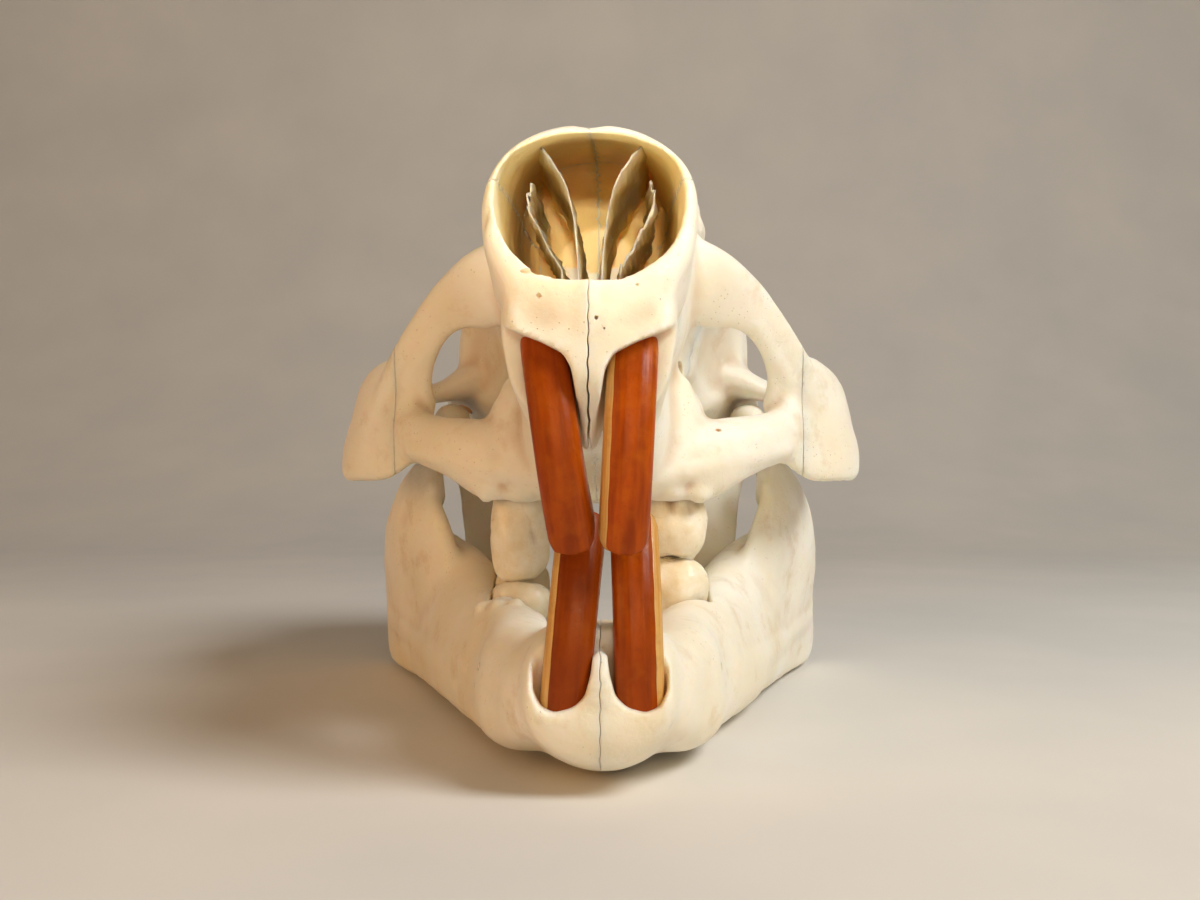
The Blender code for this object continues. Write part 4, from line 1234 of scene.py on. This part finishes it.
def driedBone():  # cleaned, degreased bone: cream and faintly waxy, with tan in the hollows that is painted shade and partly stain, and amber inside the nose that is a painted glow of light through its thin walls
    made, tree, shader, where = newMaterial("dried_bone")
    patches = ranged(tree, pattern(tree, where, 13.0, 4.0), 0.35, 0.68)
    colour = blended(tree, patches, boneLook["pale"], boneLook["cream"])
    stains = ranged(tree, pattern(tree, where, 5.0, 6.0, 0.65), 0.56, 0.78, 0.0, 0.45)
    colour = blended(tree, stains, colour, boneLook["stain"])
    # Tan in the hollows: painted shade, partly stain
    hollow = read(tree, "hollow")
    colour = blended(tree, maths(tree, "MULTIPLY", hollow, 0.75), colour, boneLook["hollowShadeAndStain"])
    # Amber inside the nose: a painted glow of light shining through the thin walls and bouncing between them,
    # deeper further in
    nose, deep = read(tree, "nose"), read(tree, "deep")
    amber = blended(tree, deep, boneLook["nose"], boneLook["deepNoseGlow"])
    colour = blended(tree, nose, colour, amber)
    pores = addNode(tree, "ShaderNodeTexVoronoi", {"Vector": where, "Scale": 1.5, "Randomness": 1.0})
    pit = ranged(tree, pores.outputs["Distance"], 0.16, 0.02)
    porous = ranged(tree, pattern(tree, where, 6.0, 2.0), 0.48, 0.62)
    pit = maths(tree, "MULTIPLY", pit, porous)
    colour = blended(tree, maths(tree, "MULTIPLY", pit, 0.55), colour, boneLook["pore"])
    tree.links.new(colour, shader.inputs["Base Color"])
    varied(tree, shader, where, 2.2, 4.0, 0.4, 0.62)
    fine = pattern(tree, where, 0.5, 4.0)
    coarse = pattern(tree, where, 1.9, 4.0)
    bumps(tree, shader, ((coarse, 0.12), (fine, 0.035), (maths(tree, "SUBTRACT", 1.0, pit), 0.09)))
    soaking(shader, 1.5, 0.5, (1.0, 0.64, 0.34), 2.6)
    return made


# Amber tones painted for light soaking through the thin scrolls; edge is painted light at their front
scrollLook = {"light": "#FBE3AC", "dark": "#F4CE84", "edge": "#FFF9E8"}


def scrollBone():  # paper-thin bone inside the nose: amber painted for light that soaks through it, and paler towards its torn front edge, painted light where the light comes into the nose
    made, tree, shader, where = newMaterial("scroll_bone")
    patches = ranged(tree, pattern(tree, where, 4.0), 0.35, 0.7)
    colour = blended(tree, patches, scrollLook["light"], scrollLook["dark"])
    # Paler towards the front: painted light where the light comes into the nose
    colour = blended(tree, read(tree, "edge"), colour, scrollLook["edge"])
    tree.links.new(colour, shader.inputs["Base Color"])
    varied(tree, shader, where, 1.4, 3.0, 0.42, 0.6)
    bumps(tree, shader, ((pattern(tree, where, 1.2), 0.1), (pattern(tree, where, 0.4), 0.03)))
    soaking(shader, 1.5, 0.7, (1.0, 0.66, 0.3), 3.0)
    return made


# lower is painted shade, blended in on the teeth that get less light
enamelLook = {"orange": "#B44E02", "deep": "#8E3802", "light": "#C2660A", "lower": "#742E02"}


def orangeEnamel():  # iron-stained enamel of a rodent's front teeth: glossy, orange, streaked lengthwise
    made, tree, shader, where = newMaterial("orange_enamel")
    streak = streaks(tree, 9.0, 3.0, 5.0)
    colour = blended(tree, ranged(tree, streak, 0.38, 0.66), enamelLook["orange"], enamelLook["deep"])
    cloud = ranged(tree, pattern(tree, where, 2.6, 5.0), 0.5, 0.75, 0.0, 0.55)
    colour = blended(tree, cloud, colour, enamelLook["light"])
    mottle = ranged(tree, pattern(tree, where, 1.1, 3.0), 0.56, 0.72, 0.0, 0.5)
    colour = blended(tree, mottle, colour, enamelLook["deep"])
    # Painted shade: teeth that get less light are darkened towards the lower colour
    colour = blended(tree, read(tree, "stain"), colour, enamelLook["lower"])
    tree.links.new(colour, shader.inputs["Base Color"])
    varied(tree, shader, where, 0.9, 3.0, 0.28, 0.46)
    bumps(tree, shader, ((streak, 0.05), (pattern(tree, where, 0.7, 3.0), 0.03)))
    shader.inputs["Specular IOR Level"].default_value = 0.12
    soaking(shader, 1.62, 0.12, (1.0, 0.3, 0.06), 0.8)
    return made


dentineLook = {"light": "#DDB26A", "dark": "#C48A3A", "stain": "#A9702C"}


def amberDentine():  # the softer tooth behind the enamel: amber, satin, drawn out lengthwise
    made, tree, shader, where = newMaterial("amber_dentine")
    streak = streaks(tree, 14.0, 2.0, 4.0)
    colour = blended(tree, ranged(tree, streak, 0.3, 0.7), dentineLook["light"], dentineLook["dark"])
    cloud = ranged(tree, pattern(tree, where, 1.6), 0.5, 0.75, 0.0, 0.5)
    colour = blended(tree, cloud, colour, dentineLook["stain"])
    tree.links.new(colour, shader.inputs["Base Color"])
    varied(tree, shader, where, 1.0, 3.0, 0.34, 0.5)
    bumps(tree, shader, ((streak, 0.05), (pattern(tree, where, 0.5), 0.03)))
    soaking(shader, 1.54, 0.25, (1.0, 0.5, 0.2), 1.0)
    return made


cheekLook = {"light": "#F8F1DF", "dark": "#E9DAB6", "groove": "#8C5A26", "crack": "#A67C45"}


def cheekEnamel():  # ivory enamel of the cheek teeth: glossy ridges with brown dentine between them
    made, tree, shader, where = newMaterial("cheek_enamel")
    patches = ranged(tree, pattern(tree, where, 2.6, 5.0), 0.35, 0.7)
    colour = blended(tree, patches, cheekLook["light"], cheekLook["dark"])
    colour = blended(tree, maths(tree, "MULTIPLY", read(tree, "hollow"), 0.85), colour, cheekLook["groove"])
    inputs = {"Vector": where, "Scale": 0.5}
    cracks = addNode(tree, "ShaderNodeTexVoronoi", inputs, feature="DISTANCE_TO_EDGE")
    line = ranged(tree, cracks.outputs["Distance"], 0.015, 0.0, 0.0, 0.12)
    colour = blended(tree, line, colour, cheekLook["crack"])
    tree.links.new(colour, shader.inputs["Base Color"])
    varied(tree, shader, where, 1.2, 3.0, 0.26, 0.44)
    bumps(tree, shader, ((pattern(tree, where, 1.3), 0.1), (pattern(tree, where, 0.4), 0.03)))
    soaking(shader, 1.6, 0.25, (1.0, 0.7, 0.4), 1.2)
    return made


# What the materials read on each mesh


def noseDepth(points):  # how far each point is outside the nose cavity, roughly, in mm
    rows = smoothRows(noseRows, 4)
    y = points[:, 1] - 0.1 * (points[:, 2] - 58)
    top, wide, bottom, half = (np.interp(y, rows[:, 0], rows[:, i]) for i in (1, 2, 3, 4))
    up = points[:, 2] > wide
    tall = np.where(up, top - wide, wide - bottom)
    reach = (np.abs(points[:, 0]) / half) ** 2.3 + (np.abs(points[:, 2] - wide) / tall) ** 2.3
    depth = (reach ** (1 / 2.3) - 1) * np.minimum(half, tall)
    return np.where(y < 52, depth, 9.0)


def noteBone(obj, nose=True):
    # How hollow each point is, for the painted shade and partly stain in the bone's recesses
    fine = hollowness(obj, 6) / 0.10
    broad = hollowness(obj, 70) / 0.9
    points = readPoints(obj)
    noted(obj, "hollow", 0.35 * np.clip(fine, 0, 1) + 0.6 * np.clip(broad, 0, 1))
    # Where inside the nose the painted glow goes, and how deep in
    inside = np.zeros(len(points))
    if nose:
        inside = np.clip(1 - (noseDepth(points) - 0.15) / 0.3, 0, 1)
    noted(obj, "nose", inside * np.clip((points[:, 1] + 1) / 8, 0.25, 1))
    noted(obj, "deep", np.clip((points[:, 1] - 6) / 24, 0, 1))


def noteTooth(obj, rings, stain=0.0):
    count = len(obj.data.vertices)
    share = np.arange(count) / count
    around = np.arange(count) % rings
    noted(obj, "along", share)
    # How much painted shade each front tooth gets
    noted(obj, "stain", np.full(count, stain))
    noted(obj, "across", np.abs((around / rings) * 2 - 1))


# Putting it together

# How far each core stands out beside its enamel, mm
coreAside = {("upper", 1): -0.6, ("upper", -1): 0.0, ("lower", 1): 0.6, ("lower", -1): -0.6}
# How dark each front tooth is painted, from 0 to 1: painted shade, darker on the skull's right and on the
# lower teeth, which get less light
stains = {("upper", 1): 0.0, ("upper", -1): 0.3, ("lower", 1): 0.4, ("lower", -1): 0.65}
rowShift = (-0.1083, -52.0229, -0.0211)  # from the shapes' own middle to the frame's, in mm


def placed(obj, turned):
    pivot = Matrix.Translation(cranium["pivot"])
    yaw = pivot @ Matrix.Rotation(math.radians(cranium["yaw"]), 4, "Z") @ pivot.inverted()
    yaw = Matrix.Translation(cranium["aside"]) @ yaw
    place = Matrix.Scale(0.001, 4) @ Matrix.Translation(rowShift)
    obj.data.transform(place @ yaw if turned else place)


def finished(obj, material, turned, stands=None):
    placed(obj, turned)
    obj.data.materials.clear()
    obj.data.materials.append(material)
    obj.data.shade_smooth()
    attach(obj, "root")
    if stands:
        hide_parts(stands)


bone = driedBone()
scroll = scrollBone()
enamel = orangeEnamel()
dentine = amberDentine()
cheek = cheekEnamel()

whole = makeCranium()
noteBone(whole)
print("upper skull made:", len(whole.data.vertices), "points")
partBones(whole)
upperBones = [o for o in bpy.data.objects if o.type == "MESH" and "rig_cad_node" not in o]
print("upper skull parted:", len(upperBones), "bones")
for obj in upperBones:
    node = obj.name.split(".")[0]
    obj.name = node + "_bone"
    finished(obj, bone, True, node)

whole = makeJaw()
noteBone(whole, nose=False)
print("lower jaw made:", len(whole.data.vertices), "points")
halved(whole, "dentary", lambda t: jaw["seam"] / 2, "Y", 0.12, 31)
for word in ("left", "right"):
    obj = next(o for o in bpy.data.objects if o.name.startswith("dentary_" + word) and "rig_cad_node" not in o)
    obj.name = f"dentary_{word}_bone"
    finished(obj, bone, False, "dentary_" + word)

for side, word in ((1, "left"), (-1, "right")):
    for kind, seed in (("nasal", 3.0), ("side", 5.0)):
        sheet = asObject(f"{kind}_scroll_{word}_sheet", [sheetBetween(scrolls[kind], side, seed + side)])
        cutBy(sheet, [vault(noseRows, inset=-0.25)], "INTERSECT")
        points = readPoints(sheet)
        # Mask for the painted light towards each scroll's front edge
        noted(sheet, "edge", np.clip(1.15 - (points[:, 1] - scrolls[kind]["span"][0]) / 5.0, 0, 1))
        finished(sheet, scroll, True, f"{kind}_scroll_{word}")
    fronts = (("upper", upperArc, upperEnds, True), ("lower", lowerArc, lowerEnds, False))
    for level, arc, ends, turned in fronts:
        shape = dentineCore(arc, ends[side], coreAside[level, side], side + 2.0)
        core = asObject(f"{level}_incisor_{word}_dentine", [shape])
        noteTooth(core, incisors["sides"])
        finished(core, dentine, turned, f"{level}_incisor_{word}")
        plateOf = asObject(f"{level}_incisor_{word}_enamel", [enamelPlate(arc, ends[side], side + 2.0)])
        noteTooth(plateOf, 2 * incisors["sides"] + 2, stains[level, side])
        finished(plateOf, enamel, turned)
    for level, row, turned in (("upper", upperRow, True), ("lower", lowerRow, False)):
        for i, tooth in enumerate(cheekRow(row, side)):
            name = f"{level}_cheek_tooth_{word}_{i + 1}"
            obj = asObject(name + "_crown", [cheekTooth(*tooth, 1.7 * i + side)])
            roughened(obj, cheekTeeth["lumps"], 50 + 3 * i)
            noted(obj, "hollow", hollowness(obj, 8) / 0.12)
            finished(obj, cheek, turned, name)
print("scrolls and teeth made")

# Floor, light and camera

studio = {
    "floor": "#D9D7D3",
    "floorPatches": "#E4E0D9",
    "backdrop": 0.5,  # m behind the skull
    "key": 2.1,  # W, soft and from the picture's right
    "front": 0.22,
    "nose": 15,  # narrow, from under the camera into the nose
    "fill": 0.75,
    "sky": 0.12,
}


def paleFloor():  # matt paper sweep
    made, tree, shader, where = newMaterial("pale_floor")
    patches = ranged(tree, pattern(tree, where, 60.0), 0.3, 0.7)
    tone = blended(tree, patches, studio["floor"], studio["floorPatches"])
    tree.links.new(tone, shader.inputs["Base Color"])
    shader.inputs["Roughness"].default_value = 0.85
    return made


def sweep():  # a floor that turns up behind
    rows = [(-0.9, 0.0), (-0.2, 0.0), (0.15, 0.0)]
    back, radius = studio["backdrop"], 0.25
    for a in np.linspace(0, math.pi / 2, 14):
        rows.append((back - radius + radius * math.sin(a), radius - radius * math.cos(a)))
    rows.append((back, 1.2))
    points = [(x, y, z) for y, z in rows for x in (-1.4, 1.4)]
    faces = [(2 * i, 2 * i + 1, 2 * i + 3, 2 * i + 2) for i in range(len(rows) - 1)]
    mesh = bpy.data.meshes.new("sweep")
    mesh.from_pydata(points, [], faces)
    mesh.shade_smooth()
    mesh.materials.append(paleFloor())
    linked("sweep", mesh)


def softLight(name, place, aim, size, watts, colour):
    data = bpy.data.lights.new(name, "AREA")
    data.shape = "DISK"
    data.size = size
    data.energy = watts
    data.color = linear(colour)[:3]
    lamp = linked(name, data)
    lamp.location = place
    lamp.rotation_euler = (Vector(aim) - Vector(place)).to_track_quat("-Z", "Y").to_euler()


sweep()
softLight("key", (0.30, -0.22, 0.38), (0, 0, 0.04), 0.22, studio["key"], "#FFFDF8")
softLight("front", (0.05, -0.36, 0.12), (0, 0, 0.05), 0.12, studio["front"], "#FFE2B4")
noseLight = bpy.data.lights.new("nose", "SPOT")
noseLight.energy = studio["nose"]
noseLight.spot_size = math.radians(2.6)
noseLight.spot_blend = 0.7
noseLight.shadow_soft_size = 0.012
noseLight.color = linear("#FFF2DA")[:3]
noseLamp = linked("nose", noseLight)
noseLamp.location = (0.004, -0.42, 0.048)
aim = Vector((-0.0012, -0.05, 0.0605)) - noseLamp.location
noseLamp.rotation_euler = aim.to_track_quat("-Z", "Y").to_euler()
softLight("fill", (-0.40, -0.26, 0.14), (0, 0, 0.03), 0.3, studio["fill"], "#FFBE74")

world = bpy.data.worlds.new("soft_studio")
bpy.context.scene.world = world
world.use_nodes = True
world.node_tree.nodes["Background"].inputs["Color"].default_value = linear("#FFF6EA")
world.node_tree.nodes["Background"].inputs["Strength"].default_value = studio["sky"]

view = {
    "place": (0.0, -118.0, 34.0),  # in the mm of the rows
    "lens": 38.22,
    "sensor": 36,
}
lens = bpy.data.cameras.new("photo_camera")
lens.sensor_width = view["sensor"]
lens.lens = view["lens"]
lens.clip_start = 0.01
lens.clip_end = 10
camera = linked("photo_camera", lens)
camera.location = [(p + shift) / 1000 for p, shift in zip(view["place"], rowShift)]
camera.rotation_euler = (math.radians(90), 0, 0)
bpy.context.scene.camera = camera
bpy.context.scene.view_settings.view_transform = "Standard"
